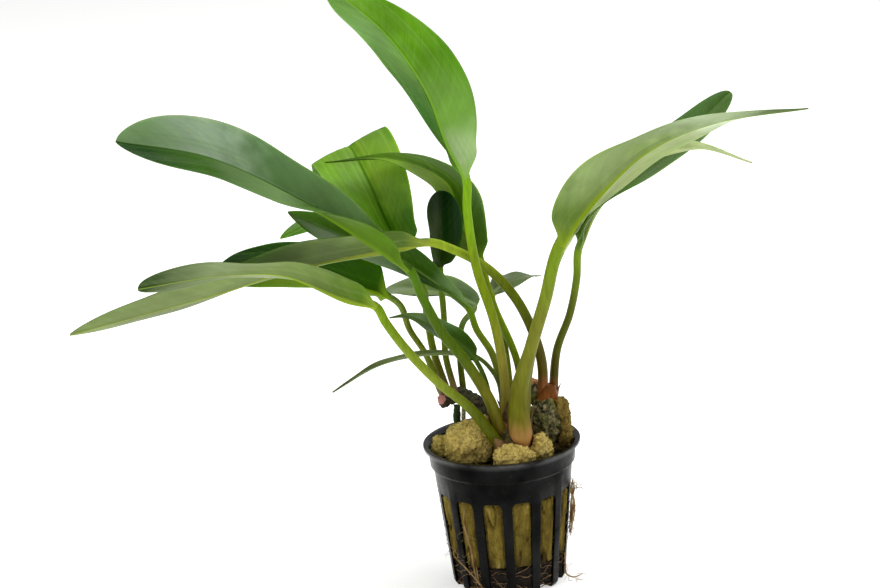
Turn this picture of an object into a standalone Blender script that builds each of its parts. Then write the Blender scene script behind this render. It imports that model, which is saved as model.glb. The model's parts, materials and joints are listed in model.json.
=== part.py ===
"""A potted anubias: a slotted black pot, mineral wool, rhizomes, roots and sixteen leaves.

Every size below is in millimetres and every angle in degrees, and one function turns them to Blender's metres.
X runs to the right, Y runs back, Z runs up. The origin is the middle of the pot's underside.
"""

import math
from collections import namedtuple

import bmesh
import bpy
from mathutils import Vector, noise

MM = 0.001
GAP = 0.3  # kept between two pieces that touch

# The pot is moulded: a slotted wall, a shoulder near the top and a flat lip.
POT_HEIGHT = 48.2
POT_WALL = 0.9
POT_FOOT_RADIUS = 18.0
POT_BASE_RADIUS = 18.9
POT_LIP_RADIUS = 26.0
SHOULDER_HEIGHT = 41.0
SLOT_COUNT = 14
COLUMNS_PER_SLOT = 3  # one column is a bar and two are the open slot beside it
SLOT_TOP = 33.4
SLOT_TOP_RADIUS = 22.3
FLOOR_DISC_RADIUS = 10.0
FRONT = math.radians(-90)  # the bar that faces the viewer

# The mineral wool fills the pot from the root mat up to just under the lip.
ROOT_MAT_BOTTOM = 1.4
ROOT_MAT_TOP = 9.4
WOOL_BOTTOM = 10.2
WOOL_TOP = 43.0
WOOL_CLEARANCE = 0.5  # between the wool and the inside of the pot's wall

FILLING_COLUMNS = 20

STALK_SIDES = 8
STALK_RINGS = (0.0, 0.05, 0.12, 0.28, 0.5, 0.75, 1.0)
FOOT_TAPER = 7.0  # length over which a stalk's foot narrows
FOOT_SHARE = 0.5  # of its radius, left at the very end of the foot
ROOT_SIDES = 5
BLADE_STATIONS = (0.0, 0.03, 0.1, 0.22, 0.36, 0.52, 0.68, 0.82, 0.94, 1.0)
BLADE_THICKNESS = 0.7
TIP_THICKNESS = 0.4
TIP_RIB = 0.2
RED_SKIN = (0.36, 0.16, 0.09)
TAN_WOOL = (0.38, 0.31, 0.13)

# stalk runs from foot to neck and blade from neck to tip. facing is where the upper side looks at the
# base, the middle and the tip, and fold is how far each half is raised there. widest is how far along the
# blade it is widest, and point is how sharp the tip is: below 1 is blunt.
Leaf = namedtuple("Leaf", "stalk blade radii half_width widest point facing fold colour")
DARK = (0.055, 0.17, 0.03)
BRIGHT = (0.16, 0.38, 0.02)
PALE = (0.22, 0.36, 0.10)

LEAVES = {
    "top": Leaf(
        [(1, -6.5, 55), (2, -6, 69), (0, -8.5, 90), (-5, -12, 111), (-6.8, -14.5, 130), (-6.5, -16, 141)],
        [(-11.3, -19.1, 152.6), (-17.2, -24.8, 171.9), (-27.9, -35.9, 191.5), (-44.7, -50, 210.1)],
        (1.6, 1.5, 1.4), 14, 0.49, 0.75,
        [(0.45, 0.83, 0.33), (0.39, 0.7, 0.6), (0.18, 0.7, 0.7)], (42, 15, 2), BRIGHT),
    "left_upper": Leaf(
        [(0, -10.8, 53.5), (-3.2, -12.4, 66), (-10.6, -14.4, 81), (-17.2, -16, 91), (-23.1, -19, 105),
         (-26.4, -22.2, 114.3)],
        [(-40.7, -24.1, 126.8), (-55.4, -28, 138.2), (-84, -34.8, 156.6), (-110.8, -48, 166.5)],
        (2.1, 1.8, 1.5), 13.6, 0.64, 0.62,
        [(0.73, 0.11, 0.67), (0.54, -0.4, 0.74), (0.52, -0.5, 0.7)], (70, 19, 19), DARK),
    "back_arching": Leaf(
        [(-16.8, 9.0, 63), (-20.5, 10.4, 77), (-21.8, 13, 88), (-22.8, 18, 98), (-27, 21.5, 106)],
        [(-32.5, 23, 117), (-38.6, 29.5, 132.4), (-44.2, 42, 141.2), (-46.3, 54, 133.6), (-50, 63, 117),
         (-72, 72, 103.6)],
        (1.3, 1.2, 1.3), 14.1, 0.41, 0.8,
        [(0.3, -0.95, 0.15), (-0.33, -0.04, 0.94), (-0.2, 0.7, 0.6)], (44, 0, 0), BRIGHT),
    "arching": Leaf(
        [(7.4, 1.2, 50), (7.0, 6.6, 72), (0.6, 13, 90), (-1.5, 16, 98), (-2.8, 18, 105)],
        [(-9.2, 21, 119.5), (-12.6, 22, 130.8), (-29.4, 23, 139.8), (-52, 22, 140.8)],
        (1.3, 1.2, 1.2), 9.2, 0.3, 1.45,
        [(-0.5, -0.8, 0.0), (0.46, -0.34, 0.82), (0.0, 0.25, 0.97)], (8, 6, 16), DARK),
    "small_upright": Leaf(
        [(-14.2, 6.4, 63.5), (-16.6, 8.4, 76), (-16.3, 10.6, 88), (-16.5, 13, 105)],
        [(-15.6, 13.5, 113), (-15.2, 12, 122), (-15.0, 10, 131.5)],
        (1.1, 1.0, 1.1), 7.0, 0.55, 0.45,
        [(0.3, -0.95, 0.1), (0.5, -0.85, 0.1), (0.3, -0.95, 0.1)], (40, 26, 14), DARK),
    "left_inner": Leaf(
        [(2.4, -1.5, 54), (-1.0, 0, 77), (-5.9, 2, 86), (-8.3, 4, 93)],
        [(-18, 6, 101), (-30, 7, 110), (-49, 10, 119), (-65, 13, 127)],
        (1.3, 1.2, 1.1), 7, 0.55, 0.85,
        [(0.6, -0.5, 0.7), (0.2, -0.6, 0.7), (0.2, -0.8, 0.6)], (34, 16, 8), DARK),
    "left_long": Leaf(
        [(14.4, 2, 60), (14.8, 1, 73), (12.3, -1, 85), (6.8, -3.5, 98), (-1.8, -6, 109), (-13, -9.5, 117),
         (-19.6, -12, 120)],
        [(-34.1, -14.1, 119.2), (-61.3, -18.1, 116.3), (-88.5, -25.2, 110.9), (-132.3, -38, 104.6)],
        (1.7, 1.6, 1.4), 10.4, 0.36, 0.7,
        [(-0.09, 0.61, 0.79), (-0.32, 0.62, 0.72), (-0.31, 0.78, 0.54)], (11, 20, 19), PALE),
    "left_lower": Leaf(
        [(-0.2, -15.0, 50), (-9.6, -17, 65), (-19.8, -20, 76), (-29, -22, 88), (-34.8, -24.4, 98),
         (-37.6, -26, 104)],
        [(-46.6, -28.2, 107.6), (-64.6, -29.7, 117.1), (-82, -36.2, 120.2), (-108.6, -47.8, 120.6)],
        (1.9, 1.5, 1.4), 8.4, 0.52, 0.45,
        [(0.13, 0.75, 0.65), (-0.04, 0.49, 0.87), (-0.3, 0.76, 0.57)], (44, 5, 13), PALE),
    "left_broad": Leaf(
        [(-18.6, 5.0, 63.5), (-23.2, 6, 77.7), (-27.9, 6.5, 86.3), (-30.2, 7, 94.2), (-33.6, 7.5, 97.4)],
        [(-42.2, 10, 100.6), (-57.3, 16, 105.7), (-72.3, 25, 105), (-93.3, 39, 100.2)],
        (1.2, 1.0, 1.1), 12.5, 0.37, 0.66,
        [(0.4, 0.8, 0.5), (0.4, 0.7, 0.6), (0.5, 0.8, 0.4)], (32, 6, 0), BRIGHT),
    "back_left": Leaf(
        [(-11.4, 9.0, 61.4), (-11.8, 15, 75), (-10.2, 20, 83), (-5.8, 25, 87)],
        [(-9, 30, 88.8), (-22, 41, 89.9), (-35, 62, 86)],
        (1.1, 1.0, 1.0), 9.8, 0.5, 0.78,
        [(0.4, -0.2, 0.9), (-0.1, -0.1, 1.0), (-0.3, -0.1, 0.9)], (20, 10, 10), DARK),
    "back_right": Leaf(
        [(4.4, 2.0, 52), (3.5, 9, 75), (2, 18, 84), (0.5, 26, 90.5)],
        [(4, 32, 92), (11, 47, 90), (15, 65, 86)],
        (1.1, 1.0, 1.0), 7.0, 0.52, 0.82,
        [(0.3, -0.5, 0.8), (0.0, 0.2, 1.0), (0.3, 0.1, 0.9)], (20, 8, 10), DARK),
    "small_middle": Leaf(
        [(-2.2, -6.4, 53), (-4, -5.5, 70), (-7, -6, 78)],
        [(-11.5, -7, 84), (-18.5, -7, 89.5), (-27, -6, 94), (-34, -5, 94)],
        (1.0, 0.8, 0.8), 4.3, 0.38, 0.95,
        [(0.5, -0.7, 0.4), (0.4, -0.5, 0.7), (0.0, 0.0, 1.0)], (20, 12, 10), DARK),
    "small_low": Leaf(
        [(0.6, -3.6, 53.6), (0.4, -3.6, 68), (-1.6, -3.3, 73), (-6, -2, 77.6), (-11, -2, 79.4)],
        [(-23, -2, 80.1), (-38, -4, 78.1), (-54, -10, 71.6)],
        (0.9, 0.8, 0.7), 3, 0.5, 0.9,
        [(0.0, 0.1, 1.0), (-0.1, 0.1, 1.0), (-0.4, 0.1, 0.9)], (14, 10, 10), DARK),
    "right_front": Leaf(
        [(6.2, -14.0, 52), (5.8, -12.8, 61), (6.5, -12.6, 69), (11.3, -15, 85), (16.2, -17, 100),
         (21.8, -19, 118.3)],
        [(36.6, -21.8, 136.7), (50.4, -26.6, 148.8), (69.5, -39, 158.4), (96.3, -50, 163.1)],
        (3.8, 2.1, 2.0), 14, 0.35, 1.45,
        [(-0.49, 0.77, 0.41), (-0.17, 0.52, 0.84), (0.03, 0.39, 0.92)], (27, 2, 12), PALE),
    "right_narrow": Leaf(
        [(8.6, -6.5, 52.5), (9.5, -4.5, 68), (12.8, -5, 83), (17, -6, 97), (22.8, -7, 113)],
        [(36, -5, 130), (49, -6, 141), (67, -12.5, 145), (83, -21, 141)],
        (1.3, 1.2, 1.1), 5.0, 0.5, 1.0,
        [(-0.6, 0.7, 0.5), (-0.1, 0.8, 0.6), (0.3, 0.3, 0.9)], (24, 18, 10), PALE),
    "right_back": Leaf(
        [(17.8, 4.2, 59.5), (20.1, 5.5, 76), (25, 6, 88), (27.8, 5.5, 100), (28.9, 5, 110)],
        [(35.2, 8.9, 121.6), (50.3, 16.9, 132.7), (68.8, 26.7, 141.9), (84.4, 38.7, 151.9)],
        (1.6, 1.3, 1.3), 6.9, 0.52, 0.5,
        [(-0.87, -0.22, 0.45), (-0.1, -0.61, 0.79), (0.1, -0.71, 0.7)], (33, 10, 13), DARK),
}

# Lumps are rounded blocks with an uneven skin: middle, half sizes, how square they are, how uneven,
# and how fine. Square 2 is an ellipsoid and 4 is nearly a block.
Lump = namedtuple("Lump", "middle half square uneven levels colour")
MOSS = (0.07, 0.075, 0.035)
BARK = (0.06, 0.035, 0.02)
WOOL = (0.45, 0.38, 0.15)
LUMPS = {
    "rhizome_main": Lump((3.2, -6.4, 50.4), (7.2, 10.0, 7.0), 2.2, 0.5, 3, RED_SKIN),
    "rhizome_right": Lump((15.4, 1, 53.4), (6.0, 6.6, 7.6), 2.4, 0.8, 3, MOSS),
    "wool_left_large": Lump((-10.4, -7, 50.2), (8.2, 7.0, 6.8), 3.0, 0.8, 3, WOOL),
    "wool_left_small": Lump((-20.0, 0, 46.8), (3.0, 4.4, 4.2), 2.6, 0.4, 2, WOOL),
    "wool_front": Lump((3.2, -18.6, 48.0), (7.2, 3.6, 4.4), 2.3, 0.5, 2, WOOL),
    "wool_right": Lump((12.4, -12.8, 48.6), (3.9, 4.2, 4.9), 2.2, 0.6, 2, WOOL),
    "wool_crumb": Lump((-5.2, -2.6, 56.2), (2.2, 1.8, 2.2), 2.4, 0.3, 2, WOOL),
    "wool_right_strip": Lump((20.7, -1.6, 53.0), (2.6, 3.2, 9.0), 3.2, 0.4, 2, TAN_WOOL),
}

# Tapering round pieces: old stumps, stubs and the thicker roots. Each has its route and end radii.
Tube = namedtuple("Tube", "route radii sides rings colour")
PALE_ROOT = (0.55, 0.52, 0.33)
TAN_ROOT = (0.40, 0.26, 0.09)
TUBES = {
    "rhizome_left": Tube(
        [(-18.7, 6.8, 62.6), (-12.6, 7.4, 62.0), (-7.6, 5.2, 59.6), (-3.6, 1.8, 55.6), (-1.6, 0, 51)],
        (2.5, 2.9, 2.7), 10, 10, BARK),
    "stump_left": Tube(
        [(-17.4, 4.0, 60.6), (-18.4, 2.6, 62.0), (-19.6, 1.6, 63.9)],
        (1.9, 1.8, 1.0), 7, 4, RED_SKIN),
    "stump_right": Tube(
        [(12.0, 3.8, 59.0), (12.2, 4.0, 63), (12.2, 4.4, 66.8)],
        (2.2, 2.0, 1.3), 7, 4, BARK),
    "root_anchor_dark": Tube(
        [(-13.9, 4.2, 60.0), (-14.2, 3.0, 55), (-14.6, 1.6, 48)],
        (1.2, 1.2, 1.1), 6, 4, DARK),
    "root_anchor_pale": Tube(
        [(-11.7, 3.4, 59.6), (-12.0, 3.0, 57), (-12.2, 2.4, 53)],
        (0.8, 0.8, 0.7), 6, 4, PALE_ROOT),
}

# Roots outside the wool. Each point is degrees around from the front, how far outside the wall, and height.
ROOTS = {
    "root_left_upper": Tube([(-39, -0.4, 31), (-40, 0.5, 26), (-38, 0.2, 17), (-36, 0.0, 9), (-35, -0.3, 4)],
                            (0.45, 0.45, 0.4), ROOT_SIDES, 9, TAN_ROOT),
    "root_left_lower": Tube([(-58, 0.2, 15), (-60, 1.0, 13), (-46, 1.0, 10), (-33, 1.3, 6), (-26, 1.2, 2)],
                            (0.4, 0.4, 0.35), ROOT_SIDES, 9, PALE_ROOT),
    "root_right_clump": Tube([(77, 1.2, 34), (79, 1.3, 31), (80, 1.5, 26), (80, 1.4, 20), (77, 1.2, 16)],
                             (0.7, 0.9, 0.6), ROOT_SIDES, 9, TAN_ROOT),
    "root_right_low": Tube([(62, 1.0, 11), (64, 1.1, 6), (66, 1.3, 2.8), (69, 3.4, 1.3), (72, 6.5, 1.8)],
                           (0.45, 0.45, 0.35), ROOT_SIDES, 9, PALE_ROOT),
}

# Which neighbours each piece is hollowed out around. Leaves are named for their stalks.
SEATED_WITH = {
    "rhizome_main": "wool_plug top left_upper left_lower left_inner arching back_right small_middle "
                    "small_low right_front right_narrow",
    "rhizome_right": "wool_plug rhizome_main left_long right_back arching right_narrow",
    "rhizome_left": "rhizome_main left_broad back_arching small_upright back_left",
    "root_anchor_dark": "rhizome_left",
    "root_anchor_pale": "rhizome_left",
    "wool_left_large": "wool_plug rhizome_main rhizome_left root_anchor_dark root_anchor_pale left_lower "
                       "left_upper small_middle",
    "wool_left_small": "wool_plug wool_left_large root_anchor_dark",
    "wool_front": "wool_plug rhizome_main wool_left_large right_front left_lower",
    "wool_right": "wool_plug rhizome_main rhizome_right wool_front right_front right_narrow",
    "wool_crumb": "rhizome_main rhizome_left wool_left_large small_middle",
    "wool_right_strip": "wool_plug rhizome_right wool_right",
}


def metres(point):
    return Vector(point) * MM


def material(name, colour, roughness):
    made = bpy.data.materials.get(name)
    if made is None:
        made = bpy.data.materials.new(name)
        made.use_nodes = True
        shader = made.node_tree.nodes["Principled BSDF"]
        shader.inputs["Base Color"].default_value = (*colour, 1.0)
        shader.inputs["Roughness"].default_value = roughness
        shader.inputs["Metallic"].default_value = 0.0
    return made


def object_from(name, mesh, colour, roughness, smooth_angle=40):
    """Turns a bmesh into a named object with its own material, and a closed one's faces outwards."""
    bmesh.ops.recalc_face_normals(mesh, faces=mesh.faces[:])
    closed = all(edge.is_manifold for edge in mesh.edges)
    if closed and mesh.calc_volume(signed=True) < 0:
        bmesh.ops.reverse_faces(mesh, faces=mesh.faces[:])
    data = bpy.data.meshes.new(name)
    mesh.to_mesh(data)
    mesh.free()
    data.shade_smooth()
    data.set_sharp_from_angle(angle=math.radians(smooth_angle))
    data.materials.append(material(name, colour, roughness))
    made = bpy.data.objects.new(name, data)
    bpy.context.scene.collection.objects.link(made)
    return made


def eased(values, share):
    """The value at a share from 0 to 1 of the way through three values, turning smoothly at the middle."""
    first, middle, last = values
    if share < 0.5:
        return first + (middle - first) * smooth_step(share * 2)
    return middle + (last - middle) * smooth_step(share * 2 - 1)


def smooth_step(share):
    return share * share * (3 - 2 * share)


class Route:
    """A smooth curve through a few points, read by how far along it one is."""

    STEPS = 12

    def __init__(self, points):
        knots = [Vector(p) for p in points]
        before = knots[0] * 2 - knots[1]
        after = knots[-1] * 2 - knots[-2]
        padded = [before, *knots, after]
        self.points = [knots[0]]
        self.knot_distance = [0.0]
        self.distance = [0.0]
        for a, b, c, d in zip(padded, padded[1:], padded[2:], padded[3:]):
            for step in range(1, self.STEPS + 1):
                point = self.between(a, b, c, d, step / self.STEPS)
                self.distance.append(self.distance[-1] + (point - self.points[-1]).length)
                self.points.append(point)
            self.knot_distance.append(self.distance[-1])
        self.length = self.distance[-1]

    @staticmethod
    def between(a, b, c, d, share):
        """A Catmull-Rom point between b and c, with knots spaced by the root of the distance."""
        gaps = [max(math.sqrt((q - p).length), 1e-6) for p, q in ((a, b), (b, c), (c, d))]
        start, end = (c - a) / (gaps[0] + gaps[1]), (d - b) / (gaps[1] + gaps[2])
        leave = ((b - a) / gaps[0] - start + (c - b) / gaps[1]) * gaps[1]
        arrive = ((c - b) / gaps[1] - end + (d - c) / gaps[2]) * gaps[1]
        cube, square = share**3, share**2
        return (
            (2 * cube - 3 * square + 1) * b
            + (cube - 2 * square + share) * leave
            + (3 * square - 2 * cube) * c
            + (cube - square) * arrive
        )

    def at(self, distance):
        if distance < 0:
            return self.points[0] + (self.points[0] - self.points[1]).normalized() * -distance
        if distance > self.length:
            past = distance - self.length
            return self.points[-1] + (self.points[-1] - self.points[-2]).normalized() * past
        index = 1
        while index < len(self.distance) - 1 and self.distance[index] < distance:
            index += 1
        low, high = self.distance[index - 1], self.distance[index]
        return self.points[index - 1].lerp(self.points[index], (distance - low) / max(high - low, 1e-9))

    def direction(self, distance, reach=1.0):
        return (self.at(distance + reach) - self.at(distance - reach)).normalized()


def loft(mesh, rings):
    """Skins closed rings of points, in order, and caps both ends."""
    rows = [[mesh.verts.new(metres(p)) for p in ring] for ring in rings]
    for lower, upper in zip(rows, rows[1:]):
        for i in range(len(lower)):
            j = (i + 1) % len(lower)
            mesh.faces.new((lower[i], lower[j], upper[j], upper[i]))
    mesh.faces.new(list(reversed(rows[0])))
    mesh.faces.new(rows[-1])


def tube_rings(route, start, end, shares, radius_at, sides):
    """Round rings along part of a route, each as wide as its share of the way asks for."""
    rings = []
    side = Vector((1, 0, 0))
    for share in shares:
        distance = start + (end - start) * share
        ahead = route.direction(distance)
        side = (side - side.dot(ahead) * ahead).normalized()
        across = ahead.cross(side)
        radius = radius_at(share)
        rings.append([
            route.at(distance) + radius * (math.cos(a) * side + math.sin(a) * across)
            for a in (2 * math.pi * k / sides for k in range(sides))
        ])
    return rings


def leaf_route(leaf):
    """The whole spine of a leaf, and how far along it the blade starts."""
    route = Route([*leaf.stalk, *leaf.blade])
    return route, route.knot_distance[len(leaf.stalk) - 1]


def build_stalk(name, leaf, swell=0.0):
    """The round stalk, wider at the foot where it sheathes the rhizome."""
    route, neck = leaf_route(leaf)

    def radius_at(share):
        foot = smooth_step(min(1.0, share * neck / FOOT_TAPER))
        return eased(leaf.radii, share) * (FOOT_SHARE + (1 - FOOT_SHARE) * foot) + swell

    mesh = bmesh.new()
    loft(mesh, tube_rings(route, -swell, neck - GAP / 2 + swell, STALK_RINGS, radius_at, STALK_SIDES))
    return object_from(name, mesh, (0.24, 0.36, 0.04), 0.4)


def blade_width(leaf, share):
    """Half width along the blade: it grows from the neck's own radius and narrows to the tip."""
    rise = leaf.point * leaf.widest / (1 - leaf.widest)
    shape = (share / leaf.widest) ** rise * ((1 - share) / (1 - leaf.widest)) ** leaf.point
    neck_part = leaf.radii[2] * (1 - share)
    full = leaf.half_width - leaf.radii[2] * (1 - leaf.widest)
    return neck_part + full * shape + TIP_RIB * share


def blade_ring(leaf, route, neck, share):
    """One cross-section: five points over the upper side and three under the midrib."""
    start = neck + GAP / 2
    distance = start + (route.length - start) * share
    centre, ahead = route.at(distance), route.direction(distance)
    facing = eased([Vector(f).normalized() for f in leaf.facing], share)
    normal = (facing - facing.dot(ahead) * ahead).normalized()
    across = ahead.cross(normal)
    width = blade_width(leaf, share)
    opening = min(1.0, share / BLADE_STATIONS[2])
    lift = math.radians(eased(leaf.fold, share)) * opening
    thick = BLADE_THICKNESS + (TIP_THICKNESS - BLADE_THICKNESS) * share
    crest = leaf.radii[2] * (1 - opening)
    rib = leaf.radii[2] * 1.2 * (1 - share) ** 2 + TIP_RIB

    def over(side):
        reach = abs(side) * width
        height = thick / 2 + reach * math.sin(lift) + (0 if abs(side) == 1 else crest)
        return centre + across * math.copysign(reach * math.cos(lift), side) + normal * height

    def under(side):
        return over(side) - normal * (thick + (rib if side == 0 else 0))

    return [over(side) for side in (-1, -0.5, 0, 0.5, 1)] + [under(side) for side in (0.5, 0, -0.5)]


def skin_blade(mesh, rings):
    """Skins a blade in triangles whose slants run from the midrib to the edge, the same above and below."""
    rows = [[mesh.verts.new(metres(p)) for p in ring] for ring in rings]
    for near, far in zip(rows, rows[1:]):
        for i in range(8):
            j = (i + 1) % 8
            outward = i % 4 >= 2
            if outward:
                mesh.faces.new((near[i], near[j], far[j]))
                mesh.faces.new((near[i], far[j], far[i]))
            else:
                mesh.faces.new((near[i], near[j], far[i]))
                mesh.faces.new((near[j], far[j], far[i]))
    mesh.faces.new(list(reversed(rows[0])))
    mesh.faces.new(rows[-1])


def build_blade(name, leaf):
    route, neck = leaf_route(leaf)
    mesh = bmesh.new()
    skin_blade(mesh, [blade_ring(leaf, route, neck, share) for share in BLADE_STATIONS])
    return object_from(name, mesh, leaf.colour, 0.35, 60)


def build_tube(name, piece, swell=0.0):
    route = Route(piece.route)
    shares = [i / (piece.rings - 1) for i in range(piece.rings)]
    mesh = bmesh.new()
    loft(mesh, tube_rings(route, -swell, route.length + swell, shares,
                          lambda share: eased(piece.radii, share) + swell, piece.sides))
    return object_from(name, mesh, piece.colour, 0.8)


def build_root(name, piece):
    """A root that follows the pot's wall: its route turns from bearings to places first."""
    places = []
    for bearing, outside, height in piece.route:
        angle, radius = FRONT + math.radians(bearing), wall_radius(height) + outside
        places.append((radius * math.cos(angle), radius * math.sin(angle), height))
    return build_tube(name, piece._replace(route=places))


def build_lump(name, lump, swell=0.0):
    """A rounded block from a fine ball, pushed out towards a box and roughened by noise."""
    mesh = bmesh.new()
    bmesh.ops.create_icosphere(mesh, subdivisions=lump.levels, radius=1.0)
    middle, half = Vector(lump.middle), Vector(lump.half)
    for vert in mesh.verts:
        towards = vert.co.normalized()
        reach = sum(abs(c) ** lump.square for c in towards) ** (-1 / lump.square)
        place = Vector(c * h for c, h in zip(towards * reach, half))
        bump = noise.noise((place + middle) * 0.28) * lump.uneven * 1.6
        vert.co = metres(middle + place + towards * (bump + swell))
    return object_from(name, mesh, lump.colour, 0.95)


def as_cutter(made):
    made.hide_render = True
    made.display_type = "WIRE"
    return made


def grow_into(target, *others):
    """Makes the target one body with what grows from it."""
    for other in others:
        joined = target.modifiers.new("with_" + other.name, "BOOLEAN")
        joined.operation = "UNION"
        joined.object = as_cutter(other)


def fit_around(target, *cutters):
    """Hollows the target where a grown copy of its neighbour lies, so that the two touch with a small gap."""
    for cutter in cutters:
        cut = target.modifiers.new("seat_" + cutter.name, "BOOLEAN")
        cut.operation = "DIFFERENCE"
        cut.object = cutter


def pot_profile():
    """Radius and height of the pot's outside, from the middle of its floor to the edge of its lip."""
    return [
        (0, 0),
        (FLOOR_DISC_RADIUS, 0),
        (POT_FOOT_RADIUS, 0),
        (POT_BASE_RADIUS, 1.2),
        (SLOT_TOP_RADIUS, SLOT_TOP),
        (23.0, SHOULDER_HEIGHT - 0.6),
        (24.0, SHOULDER_HEIGHT + 0.4),
        (24.5, POT_HEIGHT - 1.5),
        (25.0, POT_HEIGHT - POT_WALL),
        (POT_LIP_RADIUS, POT_HEIGHT - POT_WALL),
    ]


def build_pot():
    """The outside is spun from its profile, its slots are opened, and the wall is thickened inwards."""
    columns = SLOT_COUNT * COLUMNS_PER_SLOT
    start = FRONT - math.pi / columns
    mesh = bmesh.new()
    line = [mesh.verts.new(metres((r * math.cos(start), r * math.sin(start), z))) for r, z in pot_profile()]
    edges = [mesh.edges.new(pair) for pair in zip(line, line[1:])]
    bmesh.ops.spin(mesh, geom=line + edges, cent=(0, 0, 0), axis=(0, 0, 1), angle=2 * math.pi, steps=columns)
    bmesh.ops.remove_doubles(mesh, verts=mesh.verts[:], dist=1e-6)
    open_faces = [face for face in mesh.faces if is_open(face.calc_center_median(), columns)]
    bmesh.ops.delete(mesh, geom=open_faces, context="FACES")
    pot = object_from("pot", mesh, (0.012, 0.012, 0.013), 0.35, 30)
    wall = pot.modifiers.new("wall", "SOLIDIFY")
    wall.thickness = POT_WALL * MM
    wall.offset = 1  # the shell is wound facing inwards, so this leaves the outside where it is
    wall.use_even_offset = True
    return pot


def is_open(middle, columns):
    """Whether the face with this middle lies in a slot: the bars are every third column from the front."""
    radius, height = math.hypot(middle.x, middle.y) / MM, middle.z / MM
    column = round((math.atan2(middle.y, middle.x) - FRONT) / (2 * math.pi / columns))
    return radius > FLOOR_DISC_RADIUS and height < SLOT_TOP and column % COLUMNS_PER_SLOT != 0


def wall_radius(height):
    """Outside radius of the pot's slotted wall at a height."""
    return POT_BASE_RADIUS + (SLOT_TOP_RADIUS - POT_BASE_RADIUS) * height / SLOT_TOP


def build_filling(name, bottom, top, uneven, colour, rings, swell=0.0):
    """A plug in the shape of the pot's inside, with a lumpy side and top."""
    rows = []
    for ring in range(rings):
        height = bottom - swell + (top - bottom + 2 * swell) * ring / (rings - 1)
        row = []
        for k in range(FILLING_COLUMNS):
            angle = 2 * math.pi * k / FILLING_COLUMNS
            around = Vector((math.cos(angle), math.sin(angle), 0))
            dent = abs(noise.noise(around * 4 + Vector((0, 0, height * 0.07)))) * uneven
            radius = wall_radius(height) - POT_WALL - WOOL_CLEARANCE - dent
            row.append(around * (radius + swell) + Vector((0, 0, height)))
        rows.append(row)
    inner = [p * 0.55 + Vector((0, 0, p.z * 0.45 + uneven * 0.4)) for p in rows[-1]]
    mesh = bmesh.new()
    loft(mesh, [*rows, inner])
    return object_from(name, mesh, colour, 0.95)


def build():
    for old in list(bpy.data.objects):
        bpy.data.objects.remove(old)
    build_pot()
    build_filling("root_mat", ROOT_MAT_BOTTOM, ROOT_MAT_TOP, 0.9, (0.05, 0.022, 0.012), 3)
    build_filling("wool_plug", WOOL_BOTTOM, WOOL_TOP, 1.2, WOOL, 7)
    for name, root in ROOTS.items():
        build_root(name, root)
    for name, leaf in LEAVES.items():
        build_stalk("stalk_" + name, leaf)
        build_blade("blade_" + name, leaf)
    piece = {name: build_tube(name, tube) for name, tube in TUBES.items()}
    piece.update({name: build_lump(name, lump) for name, lump in LUMPS.items()})

    # Each piece is seated in the ones under it by a copy of itself that is larger all round by the gap.
    seat = {name: as_cutter(build_stalk("seat_stalk_" + name, leaf, GAP)) for name, leaf in LEAVES.items()}
    seat.update({name: as_cutter(build_tube("seat_" + name, tube, GAP)) for name, tube in TUBES.items()})
    seat.update({name: as_cutter(build_lump("seat_" + name, lump, GAP)) for name, lump in LUMPS.items()})
    seat["wool_plug"] = as_cutter(build_filling("seat_wool_plug", WOOL_BOTTOM, WOOL_TOP, 1.2, WOOL, 7, GAP))
    grow_into(piece["rhizome_left"], piece["stump_left"])
    grow_into(piece["rhizome_right"], piece["stump_right"])
    for name, neighbours in SEATED_WITH.items():
        fit_around(piece[name], *(seat[other] for other in neighbours.split()))


build()
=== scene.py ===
"""A potted anubias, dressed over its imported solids: leaves, stalks, rhizomes, roots, mineral wool and pot.

The file is laid out as an add-on. Each operator makes one group of pieces, and main() calls them in order.
Tables and places are in millimetres, as X to the right, Y away from the viewer and Z up from the pot's
underside. The panel's own sizes are in metres, Blender's unit.
"""

import json
import math
from collections import namedtuple

import bpy
import numpy as np
from bpy.props import FloatProperty, FloatVectorProperty, IntProperty, PointerProperty
from mathutils import Matrix, Vector, noise


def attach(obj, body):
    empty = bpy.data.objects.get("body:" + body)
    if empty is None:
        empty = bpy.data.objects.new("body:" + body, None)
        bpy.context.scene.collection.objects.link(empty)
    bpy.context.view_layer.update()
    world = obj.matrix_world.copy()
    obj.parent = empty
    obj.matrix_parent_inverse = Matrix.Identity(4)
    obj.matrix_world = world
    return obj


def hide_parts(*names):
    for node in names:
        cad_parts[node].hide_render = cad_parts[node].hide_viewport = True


bl_info = {
    "name": "Potted anubias",
    "version": (1, 0, 0),
    "blender": (4, 5, 0),
    "location": "View3D > Sidebar > Plant",
    "description": "Models a water plant, with its roots, mineral wool and slotted pot",
    "category": "Object",
}

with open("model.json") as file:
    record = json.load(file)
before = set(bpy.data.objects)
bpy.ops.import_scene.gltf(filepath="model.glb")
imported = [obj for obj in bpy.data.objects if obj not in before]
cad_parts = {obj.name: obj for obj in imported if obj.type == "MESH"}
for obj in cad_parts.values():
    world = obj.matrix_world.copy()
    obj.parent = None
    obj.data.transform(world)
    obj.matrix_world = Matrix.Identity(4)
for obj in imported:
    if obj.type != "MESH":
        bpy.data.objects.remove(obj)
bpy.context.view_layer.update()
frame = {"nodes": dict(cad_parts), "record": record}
MM = 0.001
BODY = "root"
SQUARE_CENTIMETRE = 1e-4


def linear(code):
    """The linear colour, with full alpha, of an sRGB hex value."""
    shares = [int(code[i:i + 2], 16) / 255 for i in (1, 3, 5)]
    return (*(s / 12.92 if s <= 0.04045 else ((s + 0.055) / 1.055) ** 2.4 for s in shares), 1.0)


def per(millimetres):
    """The texture scale that gives a pattern this size on Object coordinates."""
    return 1 / (millimetres * MM)


def smooth_step(share):
    share = np.clip(share, 0.0, 1.0)
    return share * share * (3 - 2 * share)


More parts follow.
